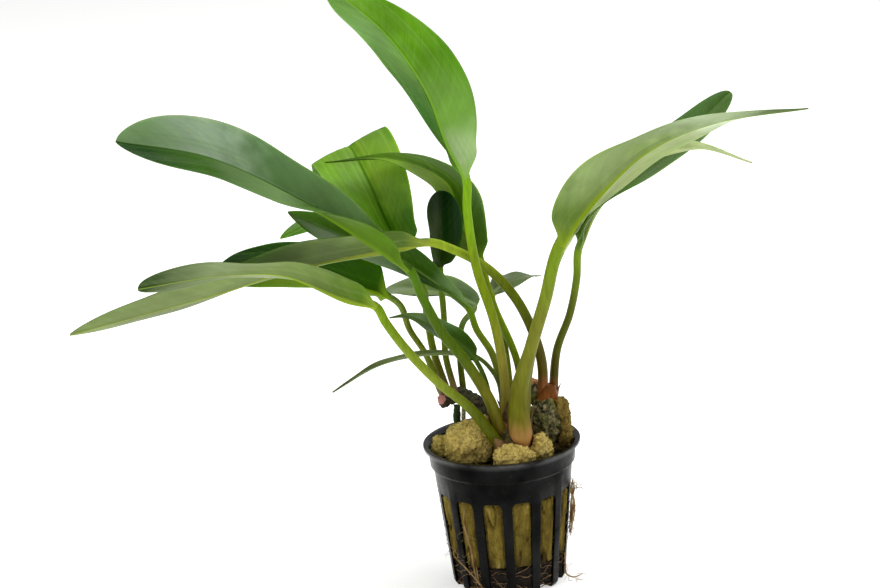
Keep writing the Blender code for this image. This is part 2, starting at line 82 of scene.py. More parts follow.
def eased(values, share):
    """The value at a share of the way through three values, turning smoothly at the middle."""
    first, middle, last = (np.asarray(v, float) for v in values)
    if share < 0.5:
        return first + (middle - first) * smooth_step(share * 2)
    return middle + (last - middle) * smooth_step(share * 2 - 1)


# A leaf's stalk runs from foot to neck and its blade from neck to tip. radii are the stalk's at its foot,
# middle and neck. facing is where the upper side looks at the base, the middle and the tip, and fold is how
# far each half is raised there, in degrees. widest is how far along the blade it is widest, and point is how
# sharp the tip is: below 1 is blunt. wave is how far the edges rise and fall and how many times.
Leaf = namedtuple("Leaf", "stalk blade radii half_width widest point facing fold wave")
LEAVES = {
    "top": Leaf(
        [(1, -6.5, 55), (2, -6, 69), (0, -8.5, 90), (-5, -12, 111), (-6.8, -14.5, 130), (-6.5, -16, 141)],
        [(-11.3, -19.1, 152.6), (-17.2, -24.8, 171.9), (-27.9, -35.9, 191.5), (-44.7, -50, 210.1)],
        (1.6, 1.5, 1.4), 14, 0.49, 0.75,
        [(0.45, 0.83, 0.33), (0.39, 0.7, 0.6), (0.18, 0.7, 0.7)], (42, 15, 2), (0.3, 2.5)),
    "left_upper": Leaf(
        [(0, -10.8, 53.5), (-3.2, -12.4, 66), (-10.6, -14.4, 81), (-17.2, -16, 91), (-23.1, -19, 105),
         (-26.4, -22.2, 114.3)],
        [(-40.7, -24.1, 126.8), (-55.4, -28, 138.2), (-84, -34.8, 156.6), (-110.8, -48, 166.5)],
        (2.1, 1.8, 1.5), 13.6, 0.64, 0.62,
        [(0.73, 0.11, 0.67), (0.54, -0.4, 0.74), (0.52, -0.5, 0.7)], (70, 19, 19), (0.3, 3.0)),
    "back_arching": Leaf(
        [(-16.8, 9.0, 63), (-20.5, 10.4, 77), (-21.8, 13, 88), (-22.8, 18, 98), (-27, 21.5, 106)],
        [(-32.5, 23, 117), (-38.6, 29.5, 132.4), (-44.2, 42, 141.2), (-46.3, 54, 133.6), (-50, 63, 117),
         (-72, 72, 103.6)],
        (1.3, 1.2, 1.3), 14.1, 0.41, 0.8,
        [(0.3, -0.95, 0.15), (-0.33, -0.04, 0.94), (-0.2, 0.7, 0.6)], (44, 0, 0), (0.3, 2.0)),
    "arching": Leaf(
        [(7.4, 1.2, 50), (7.0, 6.6, 72), (0.6, 13, 90), (-1.5, 16, 98), (-2.8, 18, 105)],
        [(-9.2, 21, 119.5), (-12.6, 22, 130.8), (-29.4, 23, 139.8), (-52, 22, 140.8)],
        (1.3, 1.2, 1.2), 9.2, 0.3, 1.45,
        [(-0.5, -0.8, 0.0), (0.46, -0.34, 0.82), (0.0, 0.25, 0.97)], (8, 6, 16), (0.2, 2.0)),
    "small_upright": Leaf(
        [(-14.2, 6.4, 63.5), (-16.6, 8.4, 76), (-16.3, 10.6, 88), (-16.5, 13, 105)],
        [(-15.6, 13.5, 113), (-15.2, 12, 122), (-15.0, 10, 131.5)],
        (1.1, 1.0, 1.1), 7.0, 0.55, 0.45,
        [(0.3, -0.95, 0.1), (0.5, -0.85, 0.1), (0.3, -0.95, 0.1)], (40, 26, 14), (0.1, 2.0)),
    "left_inner": Leaf(
        [(2.4, -1.5, 54), (-1.0, 0, 77), (-5.9, 2, 86), (-8.3, 4, 93)],
        [(-18, 6, 101), (-30, 7, 110), (-49, 10, 119), (-65, 13, 127)],
        (1.3, 1.2, 1.1), 7, 0.55, 0.85,
        [(0.6, -0.5, 0.7), (0.2, -0.6, 0.7), (0.2, -0.8, 0.6)], (34, 16, 8), (0.2, 3.0)),
    "left_long": Leaf(
        [(14.4, 2, 60), (14.8, 1, 73), (12.3, -1, 85), (6.8, -3.5, 98), (-1.8, -6, 109), (-13, -9.5, 117),
         (-19.6, -12, 120)],
        [(-34.1, -14.1, 119.2), (-61.3, -18.1, 116.3), (-88.5, -25.2, 110.9), (-132.3, -38, 104.6)],
        (1.7, 1.6, 1.4), 10.4, 0.36, 0.7,
        [(-0.09, 0.61, 0.79), (-0.32, 0.62, 0.72), (-0.31, 0.78, 0.54)], (11, 20, 19), (0.3, 3.5)),
    "left_lower": Leaf(
        [(-0.2, -15.0, 50), (-9.6, -17, 65), (-19.8, -20, 76), (-29, -22, 88), (-34.8, -24.4, 98),
         (-37.6, -26, 104)],
        [(-46.6, -28.2, 107.6), (-64.6, -29.7, 117.1), (-82, -36.2, 120.2), (-108.6, -47.8, 120.6)],
        (1.9, 1.5, 1.4), 8.4, 0.52, 0.45,
        [(0.13, 0.75, 0.65), (-0.04, 0.49, 0.87), (-0.3, 0.76, 0.57)], (44, 5, 13), (0.2, 3.0)),
    "left_broad": Leaf(
        [(-18.6, 5.0, 63.5), (-23.2, 6, 77.7), (-27.9, 6.5, 86.3), (-30.2, 7, 94.2), (-33.6, 7.5, 97.4)],
        [(-42.2, 10, 100.6), (-57.3, 16, 105.7), (-72.3, 25, 105), (-93.3, 39, 100.2)],
        (1.2, 1.0, 1.1), 12.5, 0.37, 0.66,
        [(0.4, 0.8, 0.5), (0.4, 0.7, 0.6), (0.5, 0.8, 0.4)], (32, 6, 0), (0.3, 2.5)),
    "back_left": Leaf(
        [(-11.4, 9.0, 61.4), (-11.8, 15, 75), (-10.2, 20, 83), (-5.8, 25, 87)],
        [(-9, 30, 88.8), (-22, 41, 89.9), (-35, 62, 86)],
        (1.1, 1.0, 1.0), 9.8, 0.5, 0.78,
        [(0.4, -0.2, 0.9), (-0.1, -0.1, 1.0), (-0.3, -0.1, 0.9)], (20, 10, 10), (0.2, 2.5)),
    "back_right": Leaf(
        [(4.4, 2.0, 52), (3.5, 9, 75), (2, 18, 84), (0.5, 26, 90.5)],
        [(4, 32, 92), (11, 47, 90), (15, 65, 86)],
        (1.1, 1.0, 1.0), 7.0, 0.52, 0.82,
        [(0.3, -0.5, 0.8), (0.0, 0.2, 1.0), (0.3, 0.1, 0.9)], (20, 8, 10), (0.2, 2.5)),
    "small_middle": Leaf(
        [(-2.2, -6.4, 53), (-4, -5.5, 70), (-7, -6, 78)],
        [(-11.5, -7, 84), (-18.5, -7, 89.5), (-27, -6, 94), (-34, -5, 94)],
        (1.0, 0.8, 0.8), 4.3, 0.38, 0.95,
        [(0.5, -0.7, 0.4), (0.4, -0.5, 0.7), (0.0, 0.0, 1.0)], (20, 12, 10), (0.15, 3.0)),
    "small_low": Leaf(
        [(0.6, -3.6, 53.6), (0.4, -3.6, 68), (-1.6, -3.3, 73), (-6, -2, 77.6), (-11, -2, 79.4)],
        [(-23, -2, 80.1), (-38, -4, 78.1), (-54, -10, 71.6)],
        (0.9, 0.8, 0.7), 3, 0.5, 0.9,
        [(0.0, 0.1, 1.0), (-0.1, 0.1, 1.0), (-0.4, 0.1, 0.9)], (14, 10, 10), (0.15, 3.0)),
    "right_front": Leaf(
        [(6.2, -14.0, 52), (5.8, -12.8, 61), (6.5, -12.6, 69), (11.3, -15, 85), (16.2, -17, 100),
         (21.8, -19, 118.3)],
        [(36.6, -21.8, 136.7), (50.4, -26.6, 148.8), (69.5, -39, 158.4), (96.3, -50, 163.1)],
        (3.8, 2.1, 2.0), 14, 0.35, 1.45,
        [(-0.49, 0.77, 0.41), (-0.17, 0.52, 0.84), (0.03, 0.39, 0.92)], (27, 2, 12), (0.3, 3.0)),
    "right_narrow": Leaf(
        [(8.6, -6.5, 52.5), (9.5, -4.5, 68), (12.8, -5, 83), (17, -6, 97), (22.8, -7, 113)],
        [(36, -5, 130), (49, -6, 141), (67, -12.5, 145), (83, -21, 141)],
        (1.3, 1.2, 1.1), 5.0, 0.5, 1.0,
        [(-0.6, 0.7, 0.5), (-0.1, 0.8, 0.6), (0.3, 0.3, 0.9)], (24, 18, 10), (0.15, 3.0)),
    "right_back": Leaf(
        [(17.8, 4.2, 59.5), (20.1, 5.5, 76), (25, 6, 88), (27.8, 5.5, 100), (28.9, 5, 110)],
        [(35.2, 8.9, 121.6), (50.3, 16.9, 132.7), (68.8, 26.7, 141.9), (84.4, 38.7, 151.9)],
        (1.6, 1.3, 1.3), 6.9, 0.52, 0.5,
        [(-0.87, -0.22, 0.45), (-0.1, -0.61, 0.79), (0.1, -0.71, 0.7)], (33, 10, 13), (0.2, 2.5)),
}

# A skin's colours run evenly from the blade's base to its tip, on the half left of the midrib and on the half
# right of it, seen from above with the tip ahead. These colours include painted shade, painted sheen and
# painted light shining through, where a stretch of blade lies in shadow, reflects the light or is lit from
# behind. vein tints the side veins and rib the midrib, which fades to its share rib_tip. rough and gloss are
# how dull and how bright its reflections are, veined how strongly side veins show, and streaked how strongly
# the streaks along the blade do.
Skin = namedtuple("Skin", "left right vein rib rib_tip rough veined streaked gloss", defaults=(0.12,))


def both(*codes):
    """The same colours on both halves of a blade."""
    return codes, codes


DARK_UPPER = both("#3c5a14", "#34521a", "#325020")
GREY_UNDER = both("#586c3c", "#566c42", "#54683e")
UPPER = {
    "top": Skin(*both("#40700c", "#3c6a0c", "#386410"),
                "#608c28", "#84a830", 0.3, 0.36, 0.2, 0.2),
    # Painted sheen: the grey-green stops in the middle of both halves.
    "left_upper": Skin(("#607c18", "#446c10", "#6c8854", "#345a10", "#0c3400"),
                       ("#4c6a18", "#62804c", "#587848", "#8c9e84", "#6c865c"),
                       "#607c40", "#345414", 0.7, 0.34, 0.12, 0.24, 0.04),
    # Painted light shining through from behind: the pale yellow-green stop on the right half.
    "back_arching": Skin(("#5c9010", "#64921c", "#6c9824", "#3c6c04", "#3c6c04"),
                         ("#4a7a04", "#80a828", "#306800", "#b4d880", "#88ac40"),
                         "#98b850", "#44740a", 0.6, 0.46, 0.1, 0.34),
    "arching": Skin(("#54681c", "#526c18", "#526c18", "#689014", "#284a00"),
                    ("#40600a", "#345404", "#345404", "#426804", "#284800"),
                    "#62841c", "#70901c", 0.2, 0.42, 0.16, 0.2),
    # Painted shade: the near-black stops.
    "small_upright": Skin(("#344418", "#2c3c12", "#0c2004"), ("#243804", "#0a2c02", "#042004"),
                          "#28440c", "#2c4a10", 0.2, 0.45, 0.16, 0.15),
    "left_inner": Skin(("#405c0c", "#163400", "#425c2c", "#3a541c", "#2c4804"),
                       ("#78965a", "#2c4e06", "#34540c", "#38580e", "#3e6018"),
                       "#50702c", "#5c7c24", 0.0, 0.32, 0.14, 0.2, 0.17),
    "left_long": Skin(*DARK_UPPER, "#507024", "#7c9828", 0.2, 0.36, 0.2, 0.2),
    "left_lower": Skin(*DARK_UPPER, "#4c6828", "#7c9828", 0.2, 0.34, 0.2, 0.2),
    # Painted shade from the leaves above: the near-black stops.
    "left_broad": Skin(*both("#447008", "#0c2402", "#041002"),
                       "#305c08", "#4c7010", 0.3, 0.6, 0.16, 0.15, 0.04),
    "back_left": Skin(("#6c8048", "#7c9050", "#6c7e50"), ("#3c5814", "#5c7434", "#6c7e50"),
                      "#7c905c", "#6c844c", 0.1, 0.36, 0.12, 0.2, 0.3),
    "back_right": Skin(("#4a5828", "#44581e", "#405808"), ("#4e5e30", "#4c5c24", "#48600e"),
                       "#5c7038", "#64783c", 0.1, 0.36, 0.12, 0.2, 0.22),
    "small_middle": Skin(("#3a5804", "#304c04", "#4c5c20"),
                         ("#3a580a", "#38560e", "#44622a", "#5c7440", "#4e5e26"),
                         "#4c6828", "#54741c", 0.1, 0.34, 0.12, 0.2, 0.25),
    "small_low": Skin(("#2a3a04", "#606c34", "#727c46", "#505c2c", "#4a5626"),
                      ("#2e3c04", "#606a3a", "#84905c", "#5c6838", "#4a5624"),
                      "#7c8858", "#5c6c2c", 0.1, 0.45, 0.1, 0.2, 0.05),
    "right_front": Skin(*both("#44681c", "#48681e", "#4c6c28"),
                        "#5c7c34", "#84a034", 0.3, 0.36, 0.2, 0.2),
    "right_narrow": Skin(*both("#587a28", "#608030", "#6c8a3c"),
                         "#78944c", "#94ac4c", 0.3, 0.4, 0.14, 0.2),
    "right_back": Skin(("#34500c", "#3c5818", "#406024"), ("#3c5c18", "#446020", "#4c6830"),
                       "#4c6c30", "#6c8c34", 0.3, 0.36, 0.2, 0.2),
}
UNDER = {
    "top": Skin(("#b0cc8c", "#709c3c", "#528604", "#5a8e08", "#6c9c28"),
                ("#447008", "#286000", "#5a8630", "#689444", "#5e8638"),
                "#84a858", "#80b030", 0.6, 0.45, 0.14, 0.28, 0.06),
    "left_upper": Skin(*both("#587c0c", "#4c6c18", "#486818"),
                       "#64842c", "#6c9014", 0.3, 0.42, 0.14, 0.2),
    "back_arching": Skin(*both("#609018", "#5c8c18", "#447408"),
                         "#78a428", "#8cb438", 0.3, 0.45, 0.25, 0.25),
    "arching": Skin(*both("#507010", "#4c6c10", "#486410"),
                    "#608424", "#789c2c", 0.3, 0.45, 0.2, 0.2),
    "small_upright": Skin(*both("#405824", "#3c5424", "#384c20"),
                          "#4c642c", "#607838", 0.3, 0.45, 0.15, 0.15),
    "left_inner": Skin(*both("#507024", "#4c6c28", "#4c682c"),
                       "#648440", "#789840", 0.3, 0.45, 0.15, 0.2),
    "left_long": Skin(("#64842c", "#84985c", "#84985a", "#86965c", "#7c8c52"),
                      ("#6c8820", "#6c8430", "#627434", "#6a784a", "#849264"),
                      "#98a474", "#a8b43c", 0.7, 0.5, 0.12, 0.36),
    "left_lower": Skin(("#587c0c", "#708840", "#6c8040", "#768658", "#30481a"),
                       ("#6c8834", "#688034", "#8c9a68", "#68784a", "#284404"),
                       "#8c9c64", "#98b030", 0.7, 0.46, 0.12, 0.26),
    # Painted shade from the leaves above: the near-black stops.
    "left_broad": Skin(("#2a5200", "#163404", "#0a1c02"), ("#607c08", "#587408", "#4c6808"),
                       "#407008", "#88a820", 0.8, 0.6, 0.14, 0.2, 0.04),
    "back_left": Skin(*GREY_UNDER, "#708454", "#849860", 0.3, 0.45, 0.15, 0.2),
    "back_right": Skin(*GREY_UNDER, "#708454", "#849860", 0.3, 0.45, 0.15, 0.2),
    "small_middle": Skin(*both("#54702c", "#547030", "#547034"),
                         "#6c8440", "#80984c", 0.3, 0.45, 0.15, 0.2),
    "small_low": Skin(*both("#60703c", "#647044", "#68704c"),
                      "#7c8860", "#8c9864", 0.3, 0.45, 0.1, 0.2),
    # Painted sheen: the whitish stop on the left half and the pale stop on the right.
    "right_front": Skin(("#506414", "#909f5e", "#8c9e5c", "#c8d4b4", "#84946c"),
                        ("#688430", "#869a5e", "#6e8446", "#9aaa84", "#54643f"),
                        "#98a86c", "#88a018", 0.7, 0.46, 0.05, 0.2),
    "right_narrow": Skin(("#4c6c14", "#8c9c54", "#b4c08c"), ("#4c6c14", "#94a460", "#b8c492"),
                         "#b4c08c", "#c0cc80", 0.5, 0.46, 0.1, 0.3),
    "right_back": Skin(("#848e08", "#6c8420", "#607c20", "#6c843c", "#78903f"),
                       ("#586a10", "#3c5a24", "#9aae70", "#8a9c64", "#b4c0a0"),
                       "#809850", "#90a850", 0.4, 0.46, 0.14, 0.2),
}

# A stalk's colours at its foot, a third and two thirds of the way up, and at its neck.
STALK_COLOURS = {
    "top": ("#7a5c18", "#948c30", "#788c00", "#84b414"),
    "left_upper": ("#6a5610", "#6c6a10", "#4c6400", "#507800"),
    "back_arching": ("#9c7c64", "#6c6a18", "#748a18", "#78982c"),
    "arching": ("#5c4c08", "#6c6c14", "#6c8404", "#6c8000"),
    "small_upright": ("#946c54", "#5c6410", "#6c8014", "#6c8824"),
    "left_inner": ("#8c7830", "#6c7018", "#74801c", "#648410"),
    "left_long": ("#a85c38", "#544c00", "#5c6800", "#98b028"),
    "left_lower": ("#4c3c08", "#545c00", "#849428", "#749408"),
    "left_broad": ("#a47c60", "#607010", "#707c1c", "#789038"),
    "back_left": ("#846c48", "#545f08", "#54681c", "#748844"),
    "back_right": ("#806c20", "#80801c", "#6c7c10", "#68780c"),
    "small_middle": ("#544010", "#5c5c08", "#546808", "#4c6820"),
    "small_low": ("#74581c", "#646428", "#5c6c2c", "#506420"),
    "right_front": ("#c08850", "#6c6c10", "#7c8024", "#7c981c"),
    "right_narrow": ("#5c5424", "#787430", "#8c9434", "#809c24"),
    "right_back": ("#b0643c", "#4c4800", "#5c6414", "#78941c"),
    "sheath": ("#b06024", "#c07434", "#a8642c", "#6c4018"),
}


class Route:
    """A smooth curve through a few points, read by how far along it one is."""

    STEPS = 12

    def __init__(self, points):
        knots = [Vector(p) for p in points]
        before = knots[0] * 2 - knots[1]
        after = knots[-1] * 2 - knots[-2]
        padded = [before, *knots, after]
        self.points = [knots[0]]
        self.knot_distance = [0.0]
        self.distance = [0.0]
        for a, b, c, d in zip(padded, padded[1:], padded[2:], padded[3:]):
            for step in range(1, self.STEPS + 1):
                point = self.between(a, b, c, d, step / self.STEPS)
                self.distance.append(self.distance[-1] + (point - self.points[-1]).length)
                self.points.append(point)
            self.knot_distance.append(self.distance[-1])
        self.length = self.distance[-1]

    @staticmethod
    def between(a, b, c, d, share):
        """A Catmull-Rom point between b and c, with knots spaced by the root of the distance."""
        gaps = [max(math.sqrt((q - p).length), 1e-6) for p, q in ((a, b), (b, c), (c, d))]
        start, end = (c - a) / (gaps[0] + gaps[1]), (d - b) / (gaps[1] + gaps[2])
        leave = ((b - a) / gaps[0] - start + (c - b) / gaps[1]) * gaps[1]
        arrive = ((c - b) / gaps[1] - end + (d - c) / gaps[2]) * gaps[1]
        cube, square = share**3, share**2
        return (
            (2 * cube - 3 * square + 1) * b
            + (cube - 2 * square + share) * leave
            + (3 * square - 2 * cube) * c
            + (cube - square) * arrive
        )

    def at(self, distance):
        """The point this far along, or straight on past an end."""
        if distance < 0:
            return self.points[0] + (self.points[0] - self.points[1]).normalized() * -distance
        past = distance - self.length
        if past > 0:
            return self.points[-1] + (self.points[-1] - self.points[-2]).normalized() * past
        index = int(np.clip(np.searchsorted(self.distance, distance), 1, len(self.distance) - 1))
        low, high = self.distance[index - 1], self.distance[index]
        return self.points[index - 1].lerp(self.points[index], (distance - low) / max(high - low, 1e-9))

    def direction(self, distance, reach=1.0):
        return (self.at(distance + reach) - self.at(distance - reach)).normalized()


def leaf_route(leaf):
    """The whole spine of a leaf, and how far along it the blade starts."""
    route = Route([*leaf.stalk, *leaf.blade])
    return route, route.knot_distance[len(leaf.stalk) - 1]


class BladeSettings(bpy.types.PropertyGroup):
    thickness: FloatProperty(
        name="Thickness", description="Thickness of a blade beside its midrib", default=0.0006, unit="LENGTH")
    edge: FloatProperty(
        name="Edge", description="Thickness of a blade at its edge", default=0.00025, unit="LENGTH")
    cell: FloatProperty(
        name="Mesh cell", description="Size of a blade's faces", default=0.00085, unit="LENGTH")
    vein_gap: FloatProperty(
        name="Vein gap", description="Distance between side veins along the midrib", default=0.0034,
        unit="LENGTH")
    vein_depth: FloatProperty(
        name="Vein depth", description="How far side veins are sunk into the upper side", default=0.00007,
        unit="LENGTH")
    vein_lean: FloatProperty(
        name="Vein lean", description="How far a side vein runs forward for each step sideways", default=1.25)
    cup: FloatProperty(
        name="Cup", description="How much flatter a half is at its edge than at the midrib",
        default=math.radians(16), subtype="ANGLE")


class StalkSettings(bpy.types.PropertyGroup):
    sides: IntProperty(name="Sides", description="Faces around a stalk", default=20)
    ring_gap: FloatProperty(
        name="Ring gap", description="Distance between a stalk's rings", default=0.001, unit="LENGTH")
    foot_taper: FloatProperty(
        name="Foot taper", description="Length over which a stalk's foot narrows", default=0.005,
        unit="LENGTH")
    foot_depth: FloatProperty(
        name="Foot depth", description="How far a stalk's foot is sunk below its start", default=0.003,
        unit="LENGTH")
    foot_share: FloatProperty(
        name="Foot share", description="Share of the radius left at the end of the foot", default=0.45,
        subtype="FACTOR")


class PotSettings(bpy.types.PropertyGroup):
    slots: IntProperty(name="Slots", description="Open slots around the wall", default=14)
    columns: IntProperty(
        name="Columns", description="Faces around the wall for each slot and its bar", default=18)
    bar_share: FloatProperty(
        name="Bar share", description="Share of the turn from bar to bar that a bar takes",
        default=1 / 3, subtype="FACTOR")
    wall: FloatProperty(name="Wall", description="Thickness of the wall", default=0.0009, unit="LENGTH")
    corner: FloatProperty(
        name="Slot corner", description="Rounding of a slot's upper corners", default=0.0017, unit="LENGTH")
    round: FloatProperty(
        name="Rounding", description="Rounding of the moulded edges", default=0.00022, unit="LENGTH")
    colour: FloatVectorProperty(
        name="Colour", description="Colour of the plastic", default=linear("#060706"), size=4,
        subtype="COLOR", min=0, max=1)


class WoolSettings(bpy.types.PropertyGroup):
    cell: FloatProperty(
        name="Mesh cell", description="Size of the wool's faces", default=0.00034, unit="LENGTH")
    uneven: FloatProperty(
        name="Unevenness", description="How far the wool's tufts stand out", default=0.0005, unit="LENGTH")
    fibres: IntProperty(name="Fibres", description="Loose fibres on each square centimetre", default=100)
    fibre_length: FloatProperty(
        name="Fibre length", description="Length of a loose fibre", default=0.0022, unit="LENGTH")
    colour: FloatVectorProperty(
        name="Colour", description="Colour of the wool", default=linear("#f0d67c"), size=4,
        subtype="COLOR", min=0, max=1)


class RhizomeSettings(bpy.types.PropertyGroup):
    cell: FloatProperty(
        name="Mesh cell", description="Size of the bark's faces", default=0.0003, unit="LENGTH")
    knobs: FloatProperty(
        name="Knobs", description="How far the bark's knobs stand out", default=0.0006, unit="LENGTH")


class RootSettings(bpy.types.PropertyGroup):
    sides: IntProperty(name="Sides", description="Faces around a root", default=8)
    hairs: IntProperty(name="Hairs", description="Fine side roots on each thick one", default=14)


class StageSettings(bpy.types.PropertyGroup):
    eye: FloatVectorProperty(
        name="Camera", description="Where the camera stands", default=(-0.0171, -0.7659, 0.3118), size=3,
        subtype="TRANSLATION", unit="LENGTH")
    down: FloatProperty(
        name="Look down", description="How far the camera looks down", default=math.radians(15.5),
        subtype="ANGLE")
    roll: FloatProperty(
        name="Roll", description="How far the camera leans to one side", default=math.radians(-3.8),
        subtype="ANGLE")
    lens: FloatProperty(name="Lens", description="Focal length in millimetres", default=100)
    floor: FloatVectorProperty(
        name="Floor colour", description="Colour of the floor", default=linear("#f6f6f4"), size=4,
        subtype="COLOR", min=0, max=1)
    sky: FloatProperty(name="Surround", description="Brightness of the white surroundings", default=0.34)
    key: FloatProperty(
        name="Key light", description="Power of the large soft light overhead", default=12, unit="POWER")
    fill: FloatProperty(
        name="Fill light", description="Power of the soft light at the left", default=3.2, unit="POWER")


class PlantSettings(bpy.types.PropertyGroup):
    blades: PointerProperty(type=BladeSettings)
    stalks: PointerProperty(type=StalkSettings)
    pot: PointerProperty(type=PotSettings)
    wool: PointerProperty(type=WoolSettings)
    rhizomes: PointerProperty(type=RhizomeSettings)
    roots: PointerProperty(type=RootSettings)
    stage: PointerProperty(type=StageSettings)


def feed(tree, node, inputs):
    """Gives a node its inputs, in order or by name. Each is a value, or the socket that is linked to it."""
    for name, value in inputs.items() if isinstance(inputs, dict) else enumerate(inputs):
        if isinstance(value, bpy.types.NodeSocket):
            tree.links.new(value, node.inputs[name])
        else:
            node.inputs[name].default_value = value


def add(tree, kind, inputs=(), output=None, **settings):
    """Adds a node with its settings, and gives the output that is named or else the first one in use."""
    made = tree.nodes.new(kind)
    for name, value in settings.items():
        setattr(made, name, value)
    feed(tree, made, inputs)
    return made.outputs[output] if output else next(socket for socket in made.outputs if socket.enabled)


def new_material(name):
    """An empty material, with its node tree and its shader."""
    made = bpy.data.materials.new(name)
    made.use_nodes = True
    return made, made.node_tree, made.node_tree.nodes["Principled BSDF"]


def deselect_all():
    if bpy.context.object and bpy.context.object.mode != "OBJECT":
        bpy.ops.object.mode_set(mode="OBJECT")
    bpy.ops.object.select_all(action="DESELECT")


def make_active(piece):
    deselect_all()
    piece.select_set(True)
    bpy.context.view_layer.objects.active = piece


def apply_modifiers(piece):
    make_active(piece)
    for modifier in list(piece.modifiers):
        bpy.ops.object.modifier_apply(modifier=modifier.name)


def finished(piece, slot, *nodes):
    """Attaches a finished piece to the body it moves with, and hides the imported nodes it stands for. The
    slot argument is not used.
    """
    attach(piece, BODY)
    if nodes:
        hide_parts(*nodes)


def vectors_of(items, key):
    """A vector of each of a mesh's points or faces, as the rows of an array."""
    flat = np.empty(len(items) * 3)
    items.foreach_get(key, flat)
    return flat.reshape(-1, 3)


def move_points(mesh, points):
    mesh.vertices.foreach_set("co", np.ascontiguousarray(points, dtype=float).ravel())
    mesh.update()


def add_attribute(mesh, name, values):
    mesh.attributes.new(name, "FLOAT", "POINT").data.foreach_set("value", np.asarray(values, float))


# Edges of a rolled-up grid that are this near each other are one seam.
SEAM_REACH = 0.000002
# A blade's faces are this many times as wide as they are long.
WIDE_CELL = 1.6
# Shares of a blade's length over which its round neck flattens, and over which its halves open.
FLATTENED, OPENED = 0.07, 0.1


def add_sheet(name, around, along):
    """A flat grid, and for each of its points and faces how far across and along it lies, from 0 to 1."""
    deselect_all()
    bpy.ops.mesh.primitive_grid_add(x_subdivisions=around, y_subdivisions=along, size=1)
    piece = bpy.context.object
    piece.name = piece.data.name = name
    shares = vectors_of(piece.data.vertices, "co")[:, :2] + 0.5
    centres = vectors_of(piece.data.polygons, "center")[:, :2] + 0.5
    return piece, shares, centres


def close_roll(piece, sharp=50):
    """Joins the seam of a grid that was rolled up, caps its ends and turns its faces outwards."""
    make_active(piece)
    bpy.ops.object.mode_set(mode="EDIT")
    bpy.ops.mesh.select_all(action="SELECT")
    bpy.ops.mesh.remove_doubles(threshold=SEAM_REACH)
    bpy.ops.mesh.select_all(action="SELECT")
    bpy.ops.mesh.fill_holes(sides=0)
    bpy.ops.mesh.select_all(action="SELECT")
    bpy.ops.mesh.normals_make_consistent(inside=False)
    bpy.ops.object.mode_set(mode="OBJECT")
    bpy.ops.object.shade_smooth_by_angle(angle=math.radians(sharp))


def blade_width(leaf, share):
    """Half width along the blade: it grows from the neck's own radius and narrows to the tip."""
    tip_rib = 0.2
    rise = leaf.point * leaf.widest / (1 - leaf.widest)
    shape = (share / leaf.widest) ** rise * ((1 - share) / (1 - leaf.widest)) ** leaf.point
    full = leaf.half_width - leaf.radii[2] * (1 - leaf.widest)
    return leaf.radii[2] * (1 - share) + full * shape + tip_rib * share


def along_blade(leaf, shares):
    """For each share of a blade, its middle, the way across it, the way its upper side looks, and its fold.

    The blade's length comes last.
    """
    route, neck = leaf_route(leaf)
    length = route.length - neck
    middles, sideways, normals, folds = [], [], [], []
    facings = [Vector(f).normalized() for f in leaf.facing]
    for share in shares:
        distance = neck + length * share
        ahead = route.direction(distance)
        facing = Vector(eased(facings, share))
        normal = (facing - facing.dot(ahead) * ahead).normalized()
        middles.append(route.at(distance))
        sideways.append(ahead.cross(normal))
        normals.append(normal)
        folds.append(math.radians(float(eased(leaf.fold, share))))
    return np.array(middles), np.array(sideways), np.array(normals), np.array(folds), length


def vein_relief(settings, leaf, s, half, across, length):
    """The count of side veins from the neck to each point, and how far the nearest one lowers it there.

    A vein leaves the midrib leaning forward and hooks forward further out, and the two halves' veins are
    staggered. It fades beside the midrib, at the edge and towards the tip.
    """
    hook, stagger, vein_share = 0.35, 0.25, 0.28
    gap = settings.vein_gap / MM
    vein = (s * length - settings.vein_lean * np.abs(across) - hook * np.abs(across) * half**2) / gap
    vein = vein + stagger * np.clip(across, -1, 1)
    off = np.abs(vein - np.rint(vein))
    show = smooth_step((half - 0.06) / 0.2) * (1 - smooth_step((half - 0.75) / 0.25))
    show = show * smooth_step(s / OPENED) * (1 - s**4)
    return vein, settings.vein_depth / MM * np.exp(-((off / vein_share) ** 2)) * show


